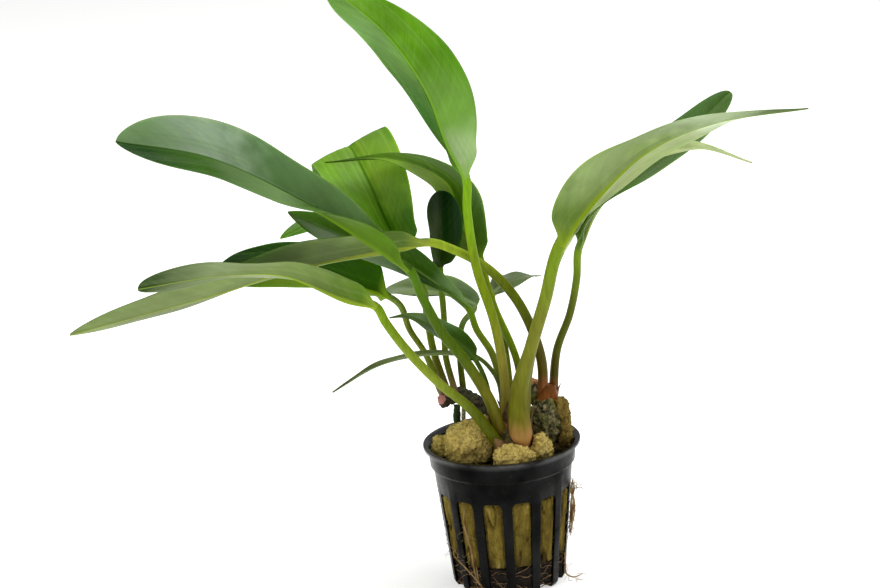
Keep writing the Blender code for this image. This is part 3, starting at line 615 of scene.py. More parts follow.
def build_blade(name, leaf, settings):
    """Rolls a grid round the blade's cross-section: first over the upper side, then back under it."""
    cell = settings.cell / MM
    route, neck = leaf_route(leaf)
    rows = int((route.length - neck) / cell)
    columns = 4 * max(6, round(leaf.half_width / cell / WIDE_CELL))
    piece, shares, centres = add_sheet("blade_" + name, columns, rows)

    # Rings lie closer together at the neck and the tip, where the outline turns fastest.
    ring = np.sin(np.linspace(0, 1, rows + 1) * math.pi / 2) ** 1.25
    middles, sideways, normals, folds, length = along_blade(leaf, ring)
    row = np.rint(shares[:, 1] * rows).astype(int)
    s = ring[row]
    around = shares[:, 0]
    upper = around <= 0.5
    side = np.where(upper, around * 4 - 1, 3 - around * 4)
    half = np.abs(side)

    # Each half rises from the midrib at the fold, and flattens towards its edge by the cup.
    width = blade_width(leaf, s)
    across = side * width
    opening = smooth_step(s / OPENED)
    fold = folds[row] * opening
    cup = -settings.cup * opening
    bend = np.where(np.abs(cup) < 1e-3, 1e-3, cup)
    out = width * (np.sin(fold + bend * (half - 0.5)) - np.sin(fold - bend * 0.5)) / bend
    rise = width * (np.cos(fold - bend * 0.5) - np.cos(fold + bend * (half - 0.5))) / bend

    # The edges wave gently, one a little ahead of the other. Side veins sink into the upper side, and the
    # under side follows them.
    wave_lead = 0.37
    amount, count = leaf.wave
    phase = np.where(side < 0, 0.0, wave_lead)
    rise = rise + amount * half**2 * opening * (1 - s**6) * np.sin(2 * math.pi * (count * s + phase))
    vein, sunk = vein_relief(settings, leaf, s, half, across, length)
    rise = rise - sunk

    # The midrib is a groove above and a bulge below, widest at the neck. The blade thins towards its tip.
    thinning, rib_end, bulge_end, groove_depth = 0.35, 0.24, 0.12, 0.16
    thick = settings.edge + (settings.thickness - settings.edge) * (1 - half**2)
    thick = thick / MM * (1 - thinning * s)
    neck_radius = leaf.radii[2]
    rib_half = rib_end + (neck_radius * 0.8 - 0.1) * (1 - s) ** 2.2
    rib = np.abs(across) / rib_half
    bulge = np.sqrt(np.clip(1 - rib**2, 0, 1)) * (bulge_end + neck_radius * 1.1 * (1 - s) ** 2)
    groove = groove_depth * np.exp(-((rib / 0.8) ** 2)) * (1 - s) * opening
    flat_height = rise + np.where(upper, thick / 2 - groove, -thick / 2 - bulge)
    flat_out = np.sign(side) * out

    # The neck is round, and flattens into the blade.
    turn = side * math.pi / 2
    round_out = neck_radius * np.sin(turn)
    round_height = neck_radius * np.cos(turn) * np.where(upper, 1.0, -1.0)
    blend = smooth_step(s / FLATTENED)
    place_out = round_out + (flat_out - round_out) * blend
    height = round_height + (flat_height - round_height) * blend
    points = middles[row] + sideways[row] * place_out[:, None] + normals[row] * height[:, None]
    move_points(piece.data, points * MM)

    for label, values in (("across", across), ("edge", half), ("share", s), ("vein", vein), ("rib", rib)):
        add_attribute(piece.data, label, values)
    piece.data.materials.append(leaf_skin(f"leaf_{name}_upper", UPPER[name]))
    piece.data.materials.append(leaf_skin(f"leaf_{name}_under", UNDER[name]))
    piece.data.polygons.foreach_set("material_index", (centres[:, 0] > 0.5).astype(np.int32))
    close_roll(piece, 80)
    return piece


def graded(tree, share, codes, stops=None):
    """A colour that passes through some hex values at their stops, or evenly from base to tip."""
    stops = np.linspace(0.05, 0.95, len(codes)) if stops is None else stops
    colour = linear(codes[0])
    for code, start, end in zip(codes[1:], stops, stops[1:]):
        reached = add(tree, "ShaderNodeMapRange", (share, start, end), interpolation_type="SMOOTHSTEP")
        colour = add(tree, "ShaderNodeMix", {0: reached, 6: colour, 7: linear(code)}, data_type="RGBA")
    return colour


def leaf_skin(name, skin):
    """Fresh waxy leaf skin: satin, with side veins that curve forward, fine streaks and a paler midrib."""
    made, tree, shader = new_material(name)
    across, edge, share, vein, rib = (
        add(tree, "ShaderNodeAttribute", output="Fac", attribute_name=label)
        for label in ("across", "edge", "share", "vein", "rib"))
    place = add(tree, "ShaderNodeTexCoord", output="Object")
    blotch = add(tree, "ShaderNodeTexNoise", {"Vector": place, "Scale": per(12), "Detail": 4})
    cells = add(
        tree, "ShaderNodeTexVoronoi", {"Vector": place, "Scale": per(0.8)}, feature="DISTANCE_TO_EDGE")

    # The two halves differ, as each is turned to the light its own way. Blotches shift their colours along.
    half = add(tree, "ShaderNodeMapRange", (across, -0.35, 0.35), interpolation_type="SMOOTHSTEP")
    moved = add(tree, "ShaderNodeMath", (blotch, 0.3, share), operation="MULTIPLY_ADD")
    moved = add(tree, "ShaderNodeMath", (moved, 0.15), operation="SUBTRACT")
    left, right = graded(tree, moved, skin.left), graded(tree, moved, skin.right)
    colour = add(tree, "ShaderNodeMix", {0: half, 6: left, 7: right}, data_type="RGBA")

    # Bands and streaks run with the side veins, counted as in their relief. Strands run lengthwise.
    flow = add(tree, "ShaderNodeCombineXYZ", (vein, edge, half))
    band = add(tree, "ShaderNodeTexNoise", {"Vector": flow, "Scale": 0.9, "Detail": 2})
    thin = add(tree, "ShaderNodeVectorMath", (flow, (5.0, 0.6, 3.0)), operation="MULTIPLY")
    streak = add(tree, "ShaderNodeTexNoise", {"Vector": thin, "Scale": 1.3, "Detail": 4})
    lengthwise = add(tree, "ShaderNodeCombineXYZ", (across, share, half))
    strand = add(tree, "ShaderNodeTexNoise", {"Vector": lengthwise, "Scale": 0.8, "Detail": 5})

    # A vein's line is broken by the bands and fades towards the edge.
    off = add(tree, "ShaderNodeMath", (blotch, 0.5, vein), operation="MULTIPLY_ADD")
    off = add(tree, "ShaderNodeMath", (off, 0.5), operation="PINGPONG")
    line = add(
        tree, "ShaderNodeMapRange", (off, 0.0, 0.16, skin.veined, 0.0), interpolation_type="SMOOTHSTEP")
    fade = add(tree, "ShaderNodeMapRange", (edge, 0.45, 0.95, 1.0, 0.0))
    broken = add(tree, "ShaderNodeMapRange", (band, 0.35, 0.65, 0.1, 1.2))
    line = add(tree, "ShaderNodeMath", (line, fade), operation="MULTIPLY")
    line = add(tree, "ShaderNodeMath", (line, broken), operation="MULTIPLY")
    brushed = add(tree, "ShaderNodeMapRange", (streak, 0.48, 0.72, 0.0, skin.veined))
    drawn = add(tree, "ShaderNodeMapRange", (strand, 0.5, 0.68, 0.0, skin.streaked))
    for cover in (line, brushed, drawn):
        colour = add(tree, "ShaderNodeMix", {0: cover, 6: colour, 7: linear(skin.vein)}, data_type="RGBA")

    light = add(tree, "ShaderNodeMapRange", (blotch, 0.3, 0.7, 0.84, 1.16))
    bands = add(tree, "ShaderNodeMapRange", (band, 0.3, 0.7, 0.94, 1.06))
    light = add(tree, "ShaderNodeMath", (light, bands), operation="MULTIPLY")
    colour = add(tree, "ShaderNodeVectorMath", {0: colour, "Scale": light}, operation="SCALE")

    # The midrib's colour starts all over the neck and narrows to the midrib. A thin margin takes the veins'.
    ends = add(tree, "ShaderNodeMapRange", (share, 0.1, 0.75, 0.95, skin.rib_tip))
    on_rib = add(tree, "ShaderNodeMapRange", (rib, 0.4, 0.95, ends, 0.0), interpolation_type="SMOOTHSTEP")
    at_neck = add(tree, "ShaderNodeMapRange", (share, 0.0, FLATTENED, 0.9, 0.0))
    on_rib = add(tree, "ShaderNodeMath", (on_rib, at_neck), operation="MAXIMUM")
    margin = add(tree, "ShaderNodeMapRange", (edge, 0.965, 1.0, 0.0, 0.4))
    for cover, code in ((on_rib, skin.rib), (margin, skin.vein)):
        colour = add(tree, "ShaderNodeMix", {0: cover, 6: colour, 7: linear(code)}, data_type="RGBA")

    # Reflections come and go in long patches.
    rough = add(tree, "ShaderNodeMapRange", (blotch, 0.3, 0.7, skin.rough - 0.06, skin.rough + 0.08))
    sheen = add(tree, "ShaderNodeTexNoise", {"Vector": lengthwise, "Scale": 0.17, "Detail": 2})
    sheen = add(tree, "ShaderNodeMapRange", (sheen, 0.38, 0.62, skin.gloss * 0.25, skin.gloss * 1.9))
    height = add(tree, "ShaderNodeMath", (cells, 0.5, streak), operation="MULTIPLY_ADD")
    bump = add(tree, "ShaderNodeBump", {"Height": height, "Strength": 0.3, "Distance": 0.00016})
    feed(tree, shader, {
        "Base Color": colour, "Roughness": rough, "Specular IOR Level": sheen, "Normal": bump, "IOR": 1.45,
        "Subsurface Weight": 0.2, "Subsurface Radius": (0.5, 1.0, 0.15), "Subsurface Scale": 0.0012})
    return made


def build_stalk(name, leaf, settings):
    """Rolls a grid into the round stalk, grooved on the side that its blade's upper side faces.

    It narrows at its foot, and its last stretch runs on inside the blade's neck.
    """
    overlap, inside_share = 0.4, 0.9
    groove_depth, groove_turn, groove_fade = 0.14, 0.5, 0.15
    route, neck = leaf_route(leaf)
    start = -settings.foot_depth / MM
    length = neck + overlap - start
    rows = max(12, round(length / (settings.ring_gap / MM)))
    piece, shares, _ = add_sheet("stalk_" + name, settings.sides, rows)
    facing = Vector(leaf.facing[0]).normalized()
    middles, sideways, fronts, radii = [], [], [], []
    for k in range(rows + 1):
        distance = start + length * k / rows
        ahead = route.direction(distance)
        front = (facing - facing.dot(ahead) * ahead).normalized()
        foot = smooth_step((distance - start) / (settings.foot_taper / MM))
        radius = float(eased(leaf.radii, float(np.clip(distance / neck, 0, 1))))
        radius *= settings.foot_share + (1 - settings.foot_share) * foot
        if distance > neck:
            radius *= inside_share
        middles.append(route.at(distance))
        sideways.append(ahead.cross(front))
        fronts.append(front)
        radii.append(radius)
    row = np.rint(shares[:, 1] * rows).astype(int)
    along = row / rows
    turn = shares[:, 0] * 2 * math.pi
    from_front = np.angle(np.exp(1j * turn))
    groove = groove_depth * np.exp(-((from_front / groove_turn) ** 2)) * smooth_step(along / groove_fade)
    groove = groove * (1 - smooth_step((along - (1 - groove_fade)) / groove_fade))
    radius = np.array(radii)[row] * (1 - groove)
    points = (np.array(middles)[row]
              + np.array(sideways)[row] * (np.sin(turn) * radius)[:, None]
              + np.array(fronts)[row] * (np.cos(turn) * radius)[:, None])
    move_points(piece.data, points * MM)
    add_attribute(piece.data, "share", along)
    piece.data.materials.append(stalk_skin("stalk_" + name, STALK_COLOURS[name]))
    close_roll(piece)
    return piece


def stalk_skin(name, colours):
    """Smooth fleshy stalk skin: satin, streaked along its length, and browner at the foot."""
    made, tree, shader = new_material(name)
    share = add(tree, "ShaderNodeAttribute", output="Fac", attribute_name="share")
    place = add(tree, "ShaderNodeTexCoord", output="Object")
    squashed = add(tree, "ShaderNodeMapping", {"Vector": place, "Scale": (1, 1, 0.12)})
    streak = add(tree, "ShaderNodeTexNoise", {"Vector": squashed, "Scale": per(0.9), "Detail": 3})
    patch = add(tree, "ShaderNodeTexNoise", {"Vector": place, "Scale": per(9), "Detail": 3})
    moved = add(tree, "ShaderNodeMath", (patch, 0.2, share), operation="MULTIPLY_ADD")
    colour = graded(tree, moved, colours, (0.08, 0.32, 0.65, 1.08))
    light = add(tree, "ShaderNodeMapRange", (streak, 0.3, 0.7, 0.82, 1.16))
    colour = add(tree, "ShaderNodeVectorMath", {0: colour, "Scale": light}, operation="SCALE")
    rough = add(tree, "ShaderNodeMapRange", (patch, 0.3, 0.7, 0.34, 0.46))
    bump = add(tree, "ShaderNodeBump", {"Height": streak, "Strength": 0.35, "Distance": 0.0002})
    feed(tree, shader, {
        "Base Color": colour, "Roughness": rough, "Specular IOR Level": 0.14, "Normal": bump, "IOR": 1.42,
        "Subsurface Weight": 0.12, "Subsurface Radius": (0.8, 1.0, 0.3), "Subsurface Scale": 0.001})
    return made


def fine_copy(node, cell):
    """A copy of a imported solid's mesh, named after it as its skin, closed and cut into fine even faces."""
    piece = bpy.data.objects.new(node + "_skin", frame["nodes"][node].data.copy())
    bpy.context.scene.collection.objects.link(piece)
    piece.data.materials.clear()
    make_active(piece)
    bpy.ops.object.mode_set(mode="EDIT")
    bpy.ops.mesh.select_all(action="SELECT")
    bpy.ops.mesh.remove_doubles(threshold=0.000001)
    bpy.ops.object.mode_set(mode="OBJECT")
    remesh = piece.modifiers.new("even", "REMESH")
    remesh.mode = "VOXEL"
    remesh.voxel_size = cell
    soften = piece.modifiers.new("soften", "SMOOTH")
    soften.factor = 0.5
    soften.iterations = 3
    apply_modifiers(piece)
    bpy.ops.object.shade_smooth()
    return piece


def noise_at(points, size, seed, stretch):
    """Smooth noise between -1 and 1 at each point, with features of a size in millimetres."""
    shift = Vector((seed, seed * 0.7, 0))
    scale = np.array((1, 1, stretch)) / (size * MM)
    return np.array([noise.noise(Vector(place) + shift) for place in points * scale])


def roughen(piece, layers, seed, stretch=1.0, crease=0.0, crease_size=4.0):
    """Pushes points along their normals by layers of noise, each a size and a height in millimetres.

    A stretch below 1 draws the noise out upwards. Creases of a given depth and size are cut where another
    noise crosses zero, and are kept for the skin to darken with painted shade.
    """
    crease_share = 0.07
    points, normals = (vectors_of(piece.data.vertices, key) for key in ("co", "normal"))
    push = sum(noise_at(points, size, seed, stretch) * height for size, height in layers)
    if crease:
        cut = np.exp(-((noise_at(points, crease_size, seed + 9.3, stretch * 0.6) / crease_share) ** 2))
        cut = cut * smooth_step(noise_at(points, crease_size * 2, seed + 4.1, stretch) * 2.5 + 0.5)
        push = push - crease * cut
        add_attribute(piece.data, "crease", cut)
    move_points(piece.data, points + normals * (push * MM)[:, None])


def fibre_mesh(name, routes, radius, sides=3):
    """Joins many thin strands, thinner at their ends, into one mesh. A route is a list of points."""
    skewed = np.array((0.31, 0.52, 0.79))
    points, faces = [], []
    for route in routes:
        route = np.asarray(route, float)
        ahead = np.gradient(route, axis=0)
        ahead /= np.linalg.norm(ahead, axis=1)[:, None] + 1e-9
        side = np.cross(ahead, skewed)
        side /= np.linalg.norm(side, axis=1)[:, None] + 1e-9
        over = np.cross(ahead, side)
        first = len(points)
        count = len(route)
        for k in range(count):
            thin = radius * (1 - 0.75 * abs(2 * k / (count - 1) - 1) ** 3)
            for turn in (2 * math.pi * j / sides for j in range(sides)):
                points.append(route[k] + thin * (side[k] * math.cos(turn) + over[k] * math.sin(turn)))
        for k in range(count - 1):
            for j in range(sides):
                a, b = first + k * sides + j, first + k * sides + (j + 1) % sides
                faces.append((a, b, b + sides, a + sides))
        faces.append(tuple(first + j for j in reversed(range(sides))))
        faces.append(tuple(first + (count - 1) * sides + j for j in range(sides)))
    mesh = bpy.data.meshes.new(name)
    mesh.from_pydata([p * MM for p in points], [], faces)
    mesh.shade_smooth()
    piece = bpy.data.objects.new(name, mesh)
    bpy.context.scene.collection.objects.link(piece)
    return piece


def surface_spots(piece, count, random):
    """Random places on a piece's surface, apart from its undersides, in millimetres, with their normals."""
    faces = piece.data.polygons
    areas = np.empty(len(faces))
    faces.foreach_get("area", areas)
    chosen = [faces[int(n)] for n in random.choice(len(areas), size=count, p=areas / areas.sum())]
    return [(Vector(face.center / MM), Vector(face.normal)) for face in chosen if face.normal.z > -0.5]


def build_fibres(pieces, settings):
    """Loose fibres that lie over the wool and curl a little way out of it, and run upwards on the plug."""
    length, radius, seed, sunk = settings.fibre_length / MM, 0.04, 40, 0.12
    routes = []
    for n, piece in enumerate(pieces):
        random = np.random.default_rng(seed + n)
        area = sum(p.area for p in piece.data.polygons) / SQUARE_CENTIMETRE
        upwards = Vector((0.5, 0, 2.0)) if piece.name.startswith("wool_plug") else Vector()
        for centre, normal in surface_spots(piece, int(area * settings.fibres), random):
            drift = Vector(random.normal(size=3)) + upwards
            ahead = (drift - drift.dot(normal) * normal).normalized()
            curl = Vector(random.normal(size=3)) * 0.5
            reach = length * random.uniform(0.4, 1.2)
            lift = random.uniform(0.05, 0.5)
            route = []
            for t in np.linspace(-1, 1, 4):
                arch = (1 - t * t) * lift - sunk
                route.append(centre + ahead * (t * reach / 2) + normal * arch + curl * (t * t - 0.5) * 0.5)
            routes.append(route)
    return fibre_mesh("wool_fibres", routes, radius)


# Fresh cuts and growing points on the rhizomes: middle and radius.
FRESH = {
    "rhizome_left": (((-19.6, 1.4, 64.0), 2.3), ((-16.6, 7.0, 64.8), 3.2)),
    "rhizome_right": (((12.2, 4.4, 66.8), 1.8), ((17.4, 3.6, 62.0), 2.2), ((16.5, -1.5, 55.5), 1.2)),
    "rhizome_main": (((5.8, -12.6, 52.5), 3.5), ((0.5, -9.5, 54.5), 2.5)),
}
WOOL_PIECES = ("wool_plug", "wool_left_large", "wool_left_small", "wool_front", "wool_right", "wool_crumb",
               "wool_right_strip")


def mineral_wool(name, colour, dark, stretch, top_darkening):
    """Damp spun mineral wool: matt and tan, matted in clumps, with green stains and painted shade in its
    creases, and darker at its foot.

    A stretch below 1 draws its clumps out upwards. Its foot turns towards a dark brown, and its top does too
    by the share that the last argument gives.
    """
    foot_dark_heights, top_dark_heights = (20 * MM, 26 * MM), (37 * MM, 40 * MM)
    made, tree, shader = new_material(name)
    place = add(tree, "ShaderNodeTexCoord", output="Object")
    squashed = add(tree, "ShaderNodeMapping", {"Vector": place, "Scale": (1, 1, stretch)})
    clump = add(
        tree, "ShaderNodeTexNoise", {"Vector": squashed, "Scale": per(4.5), "Detail": 6, "Roughness": 0.62})
    grain = add(
        tree, "ShaderNodeTexNoise", {"Vector": squashed, "Scale": per(0.55), "Detail": 5, "Roughness": 0.75})
    stain = add(tree, "ShaderNodeTexNoise", {"Vector": place, "Scale": per(13), "Detail": 4})
    height = add(tree, "ShaderNodeSeparateXYZ", (place,), "Z")

    tone = add(tree, "ShaderNodeMapRange", (clump, 0.32, 0.58))
    colour = add(tree, "ShaderNodeMix", {0: tone, 6: linear(dark), 7: colour}, data_type="RGBA")
    green = add(tree, "ShaderNodeMapRange", (stain, 0.54, 0.74, 0.0, 0.4))
    # The foot turns dark brown along a ragged line, and the top by the given share.
    darkened = add(tree, "ShaderNodeMath", (clump, 22 * MM, height), operation="MULTIPLY_ADD")
    darkened = add(tree, "ShaderNodeMapRange", (darkened, *foot_dark_heights, 0.85, 0.0))
    on_top = add(tree, "ShaderNodeMapRange", (height, *top_dark_heights, 0.0, top_darkening))
    darkened = add(tree, "ShaderNodeMath", (darkened, on_top), operation="MAXIMUM")
    fluff = add(tree, "ShaderNodeMapRange", (clump, 0.6, 0.74, 0.0, 0.35))
    for cover, code in ((green, "#8c8438"), (darkened, "#2c2010"), (fluff, "#dccc94")):
        colour = add(tree, "ShaderNodeMix", {0: cover, 6: colour, 7: linear(code)}, data_type="RGBA")
    # Painted shade darkens the creases cut into the wool.
    crease = add(tree, "ShaderNodeAttribute", output="Fac", attribute_name="crease")
    light = add(tree, "ShaderNodeMapRange", (grain, 0.3, 0.7, 0.62, 1.28))
    shade = add(tree, "ShaderNodeMapRange", (crease, 0.1, 0.9, 1.0, 0.5))
    for scale in (light, shade):
        colour = add(tree, "ShaderNodeVectorMath", {0: colour, "Scale": scale}, operation="SCALE")
    bump = add(tree, "ShaderNodeBump", {"Height": grain, "Strength": 0.9, "Distance": 0.0006})
    feed(tree, shader, {"Base Color": colour, "Roughness": 0.95, "Specular IOR Level": 0.1, "Normal": bump})
    return made


def bark_skin(name, dark, light, moss, mossy, fresh):
    """Old rhizome bark: matt and knobbly, with painted shade in its cracks, green algae and a few fresh cuts.
    """
    made, tree, shader = new_material(name)
    place = add(tree, "ShaderNodeTexCoord", output="Object")
    knob = add(
        tree, "ShaderNodeTexNoise", {"Vector": place, "Scale": per(1.8), "Detail": 6, "Roughness": 0.65})
    film = add(tree, "ShaderNodeTexNoise", {"Vector": place, "Scale": per(4), "Detail": 4})
    crack = add(
        tree, "ShaderNodeTexVoronoi", {"Vector": place, "Scale": per(1.3)}, feature="DISTANCE_TO_EDGE")
    marked = add(tree, "ShaderNodeAttribute", output="Fac", attribute_name="fresh")

    tone = add(tree, "ShaderNodeMapRange", (knob, 0.38, 0.66))
    colour = add(tree, "ShaderNodeMix", {0: tone, 6: linear(dark), 7: linear(light)}, data_type="RGBA")
    green = add(tree, "ShaderNodeMapRange", (film, 0.45, 0.62, 0.0, mossy))
    colour = add(tree, "ShaderNodeMix", {0: green, 6: colour, 7: linear(moss)}, data_type="RGBA")
    # Painted shade in the cracks.
    shade = add(tree, "ShaderNodeMapRange", (crack, 0.0, 0.12, 0.45, 1.0))
    colour = add(tree, "ShaderNodeVectorMath", {0: colour, "Scale": shade}, operation="SCALE")
    bare = add(tree, "ShaderNodeMath", (knob, 0.8, marked), operation="MULTIPLY_ADD")
    bare = add(tree, "ShaderNodeMapRange", (bare, 0.7, 1.0, 0.0, 0.9))
    colour = add(tree, "ShaderNodeMix", {0: bare, 6: colour, 7: linear(fresh)}, data_type="RGBA")
    bump = add(tree, "ShaderNodeBump", {"Height": knob, "Strength": 0.8, "Distance": 0.0008})
    feed(tree, shader, {"Base Color": colour, "Roughness": 0.78, "Specular IOR Level": 0.25, "Normal": bump})
    return made


def mark_fresh(piece, places):
    """Marks the points near some places, each a middle and a radius in millimetres, as freshly cut."""
    rim_start, rim_width = 0.7, 0.6
    points = vectors_of(piece.data.vertices, "co") / MM
    marked = np.zeros(len(points))
    for middle, radius in places:
        away = np.linalg.norm(points - np.array(middle), axis=1)
        marked = np.maximum(marked, 1 - smooth_step((away / radius - rim_start) / rim_width))
    add_attribute(piece.data, "fresh", marked)


def dry_skin(name, colour, other):
    """Thin dry skin of a root or a papery scale: matt, in patches of two tones."""
    made, tree, shader = new_material(name)
    place = add(tree, "ShaderNodeTexCoord", output="Object")
    patch = add(tree, "ShaderNodeTexNoise", {"Vector": place, "Scale": per(3), "Detail": 4})
    tone = add(tree, "ShaderNodeMapRange", (patch, 0.35, 0.65))
    mixed = add(tree, "ShaderNodeMix", {0: tone, 6: linear(colour), 7: linear(other)}, data_type="RGBA")
    feed(tree, shader, {"Base Color": mixed, "Roughness": 0.7})
    return made


def pot_plastic(settings):
    """Injection-moulded black polypropylene: satin, finely scuffed, with dried specks of lime.

    Its lip is handled, and so shinier than its wall.
    """
    lip_heights = 45.5 * MM, 47 * MM
    made, tree, shader = new_material("black_polypropylene")
    place = add(tree, "ShaderNodeTexCoord", output="Object")
    cloud = add(tree, "ShaderNodeTexNoise", {"Vector": place, "Scale": per(14), "Detail": 4})
    speck = add(tree, "ShaderNodeTexNoise", {"Vector": place, "Scale": per(0.8), "Detail": 2})
    scuff = add(
        tree, "ShaderNodeTexNoise", {"Vector": place, "Scale": per(2.5), "Detail": 6, "Roughness": 0.7})
    height = add(tree, "ShaderNodeSeparateXYZ", (place,), "Z")

    dust = add(tree, "ShaderNodeMapRange", (speck, 0.70, 0.78, 0.0, 0.2))
    lime = linear("#77746a")
    colour = add(tree, "ShaderNodeMix", {0: dust, 6: settings.colour[:], 7: lime}, data_type="RGBA")
    rough = add(tree, "ShaderNodeMapRange", (scuff, 0.3, 0.7, 0.2, 0.36))
    bump = add(tree, "ShaderNodeBump", {"Height": cloud, "Strength": 0.25, "Distance": 0.0006})
    lip = add(tree, "ShaderNodeMapRange", (height, *lip_heights, 0.07, 0.5))
    sheen = add(tree, "ShaderNodeMapRange", (cloud, 0.35, 0.65, 0.3, 2.0))
    gloss = add(tree, "ShaderNodeMath", (lip, sheen), operation="MULTIPLY")
    feed(tree, shader, {
        "Base Color": colour, "Roughness": rough, "Specular IOR Level": gloss, "Normal": bump, "IOR": 1.49})
    return made


# Radius and height of the pot's outside, from the disc in the middle of its floor to the edge of its lip.
FLOOR_DISC = 10.0
SLOT_TOP = 33.4
POT_PROFILE = [
    (FLOOR_DISC, 0.0), (18.0, 0.0), (18.9, 1.2), (22.3, SLOT_TOP), (23.0, 40.4), (24.0, 41.4), (24.5, 46.7),
    (25.0, 47.3), (26.0, 47.3)]


def wall_radius(height):
    """The radius of the wall's outside at a height."""
    radii, heights = zip(*POT_PROFILE[2:5])
    return np.interp(height, heights, radii)


def from_bar(x, y, settings):
    """How far round from the middle of the nearest bar a place is, as a share of the turn from bar to bar."""
    turns = (np.arctan2(y, x) + math.pi / 2) / (2 * math.pi / settings.slots)
    return np.abs(turns - np.rint(turns))


def round_slots(piece, settings):
    """Lowers the ends of each slot's upper edge along the wall, so that its corners are round."""
    near = 0.01
    points = vectors_of(piece.data.vertices, "co") / MM
    corner = settings.corner / MM
    reach = 2 * math.pi / settings.slots * wall_radius(SLOT_TOP)
    inside = (from_bar(points[:, 0], points[:, 1], settings) - settings.bar_share / 2) * reach
    short = np.clip(corner - inside, 0, corner)
    drop = corner - np.sqrt(corner**2 - short**2)
    drop[(np.abs(points[:, 2] - SLOT_TOP) > near) | (inside < -near)] = 0
    points[:, :2] *= (wall_radius(SLOT_TOP - drop) / wall_radius(SLOT_TOP))[:, None]
    points[:, 2] -= drop
    move_points(piece.data, points * MM)


def build_pot(settings):
    """Draws the pot's outside up from its floor ring by ring, opens the slots and thickens the wall."""
    deselect_all()
    columns = settings.slots * settings.columns
    radius, height = POT_PROFILE[0]
    bpy.ops.mesh.primitive_circle_add(
        vertices=columns, radius=radius * MM, fill_type="NGON", location=(0, 0, height * MM),
        rotation=(0, 0, -math.pi / 2))
    piece = bpy.context.object
    piece.name = piece.data.name = "net_pot"
    bpy.ops.object.transform_apply(location=True, rotation=True, scale=True)
    bpy.ops.object.mode_set(mode="EDIT")
    bpy.ops.mesh.select_mode(type="EDGE")
    bpy.ops.mesh.select_all(action="SELECT")
    for wider, higher in POT_PROFILE[1:]:
        bpy.ops.mesh.extrude_edges_move(TRANSFORM_OT_translate={"value": (0, 0, (higher - height) * MM)})
        growth = wider / radius
        bpy.ops.transform.resize(value=(growth, growth, 1), center_override=(0, 0, higher * MM))
        radius, height = wider, higher
    bpy.ops.mesh.select_all(action="DESELECT")
    bpy.ops.mesh.select_mode(type="FACE")
    bpy.ops.object.mode_set(mode="OBJECT")
    for face in piece.data.polygons:
        x, y, z = face.center / MM
        in_slot = from_bar(x, y, settings) > settings.bar_share / 2
        face.select = bool(in_slot and math.hypot(x, y) > FLOOR_DISC and z < SLOT_TOP)
    bpy.ops.object.mode_set(mode="EDIT")
    bpy.ops.mesh.delete(type="FACE")
    bpy.ops.mesh.select_all(action="SELECT")
    bpy.ops.mesh.normals_make_consistent(inside=False)
    bpy.ops.object.mode_set(mode="OBJECT")
    round_slots(piece, settings)
    floor = min(piece.data.polygons, key=lambda face: face.center.length)
    if floor.normal.z > 0:
        bpy.ops.object.mode_set(mode="EDIT")
        bpy.ops.mesh.flip_normals()
        bpy.ops.object.mode_set(mode="OBJECT")
    wall = piece.modifiers.new("wall", "SOLIDIFY")
    wall.thickness = settings.wall
    wall.offset = -1
    wall.use_even_offset = True
    edge = piece.modifiers.new("edge", "BEVEL")
    edge.width = settings.round
    edge.segments = 2
    edge.limit_method = "ANGLE"
    edge.angle_limit = math.radians(30)
    apply_modifiers(piece)
    bpy.ops.object.shade_smooth_by_angle(angle=math.radians(40))
    piece.data.materials.append(pot_plastic(settings))
    return piece


# Roots outside the wall: degrees round from the front, distance outside the wall and height at each place,
# then the radius, the number of strands and how far apart they wander.
ROOT_ROUTES = {
    "root_left_upper": ([(-39, -0.4, 31), (-40, 0.5, 26), (-38, 0.2, 17), (-36, 0.0, 9), (-35, -0.3, 4)],
                        0.28, 2, 0.35),
    "root_left_lower": ([(-58, 0.2, 15), (-60, 1.0, 13), (-46, 1.0, 10), (-33, 1.3, 6), (-26, 1.2, 2)],
                        0.26, 1, 0.1),
    "root_right_clump": ([(77, 1.2, 34), (79, 1.0, 31), (80, 0.9, 26), (80, 0.9, 20), (77, 0.9, 16)],
                         0.2, 9, 0.6),
    "root_right_low": ([(62, 1.0, 11), (64, 1.1, 6), (66, 1.3, 2.8), (69, 3.4, 1.3), (72, 6.5, 1.8)],
                       0.28, 1, 0.1),
}


def wall_place(bearing, outside, height):
    """A place given as degrees round from the front, how far outside the pot's wall, and height."""
    angle = math.radians(bearing - 90)
    radius = wall_radius(height) + outside
    return Vector((radius * math.cos(angle), radius * math.sin(angle), height))


def even_points(route):
    """Points along a whole route, evenly spaced."""
    return [route.at(distance) for distance in np.linspace(0, route.length, 40)]


def plug_reach(points, settings, swell):
    """How far out the pot's filling reaches: to the wall's inside, and further by swell where a slot is."""
    inner_gap, swell_side, swell_top = 0.95, 1.2, 1.5
    x, y, z = points.T
    wall = wall_radius(z)
    inside = (from_bar(x, y, settings) - settings.bar_share / 2) * 2 * math.pi / settings.slots * wall
    swelling = swell * smooth_step(inside / swell_side) * smooth_step((SLOT_TOP - z) / swell_top)
    return wall - inner_gap + swelling


def fill_slots(piece, settings, swell):
    """Presses the side of the plug, or of the mat under it, out to its reach and holds it back to that."""
    side_depth, side_blend = 3.2, 1.2
    points = vectors_of(piece.data.vertices, "co") / MM
    now = np.hypot(points[:, 0], points[:, 1])
    side = smooth_step((now - wall_radius(points[:, 2]) + side_depth) / side_blend)
    reach = plug_reach(points, settings, swell)
    points[:, :2] *= (1 + side * (reach / np.maximum(now, 1) - 1))[:, None]
    move_points(piece.data, points * MM)


def hold_in(piece, settings, swell):
    """Brings back any point that stands out past the reach."""
    points = vectors_of(piece.data.vertices, "co") / MM
    now = np.hypot(points[:, 0], points[:, 1])
    points[:, :2] *= np.minimum(plug_reach(points, settings, swell) / np.maximum(now, 0.1), 1)[:, None]
    move_points(piece.data, points * MM)


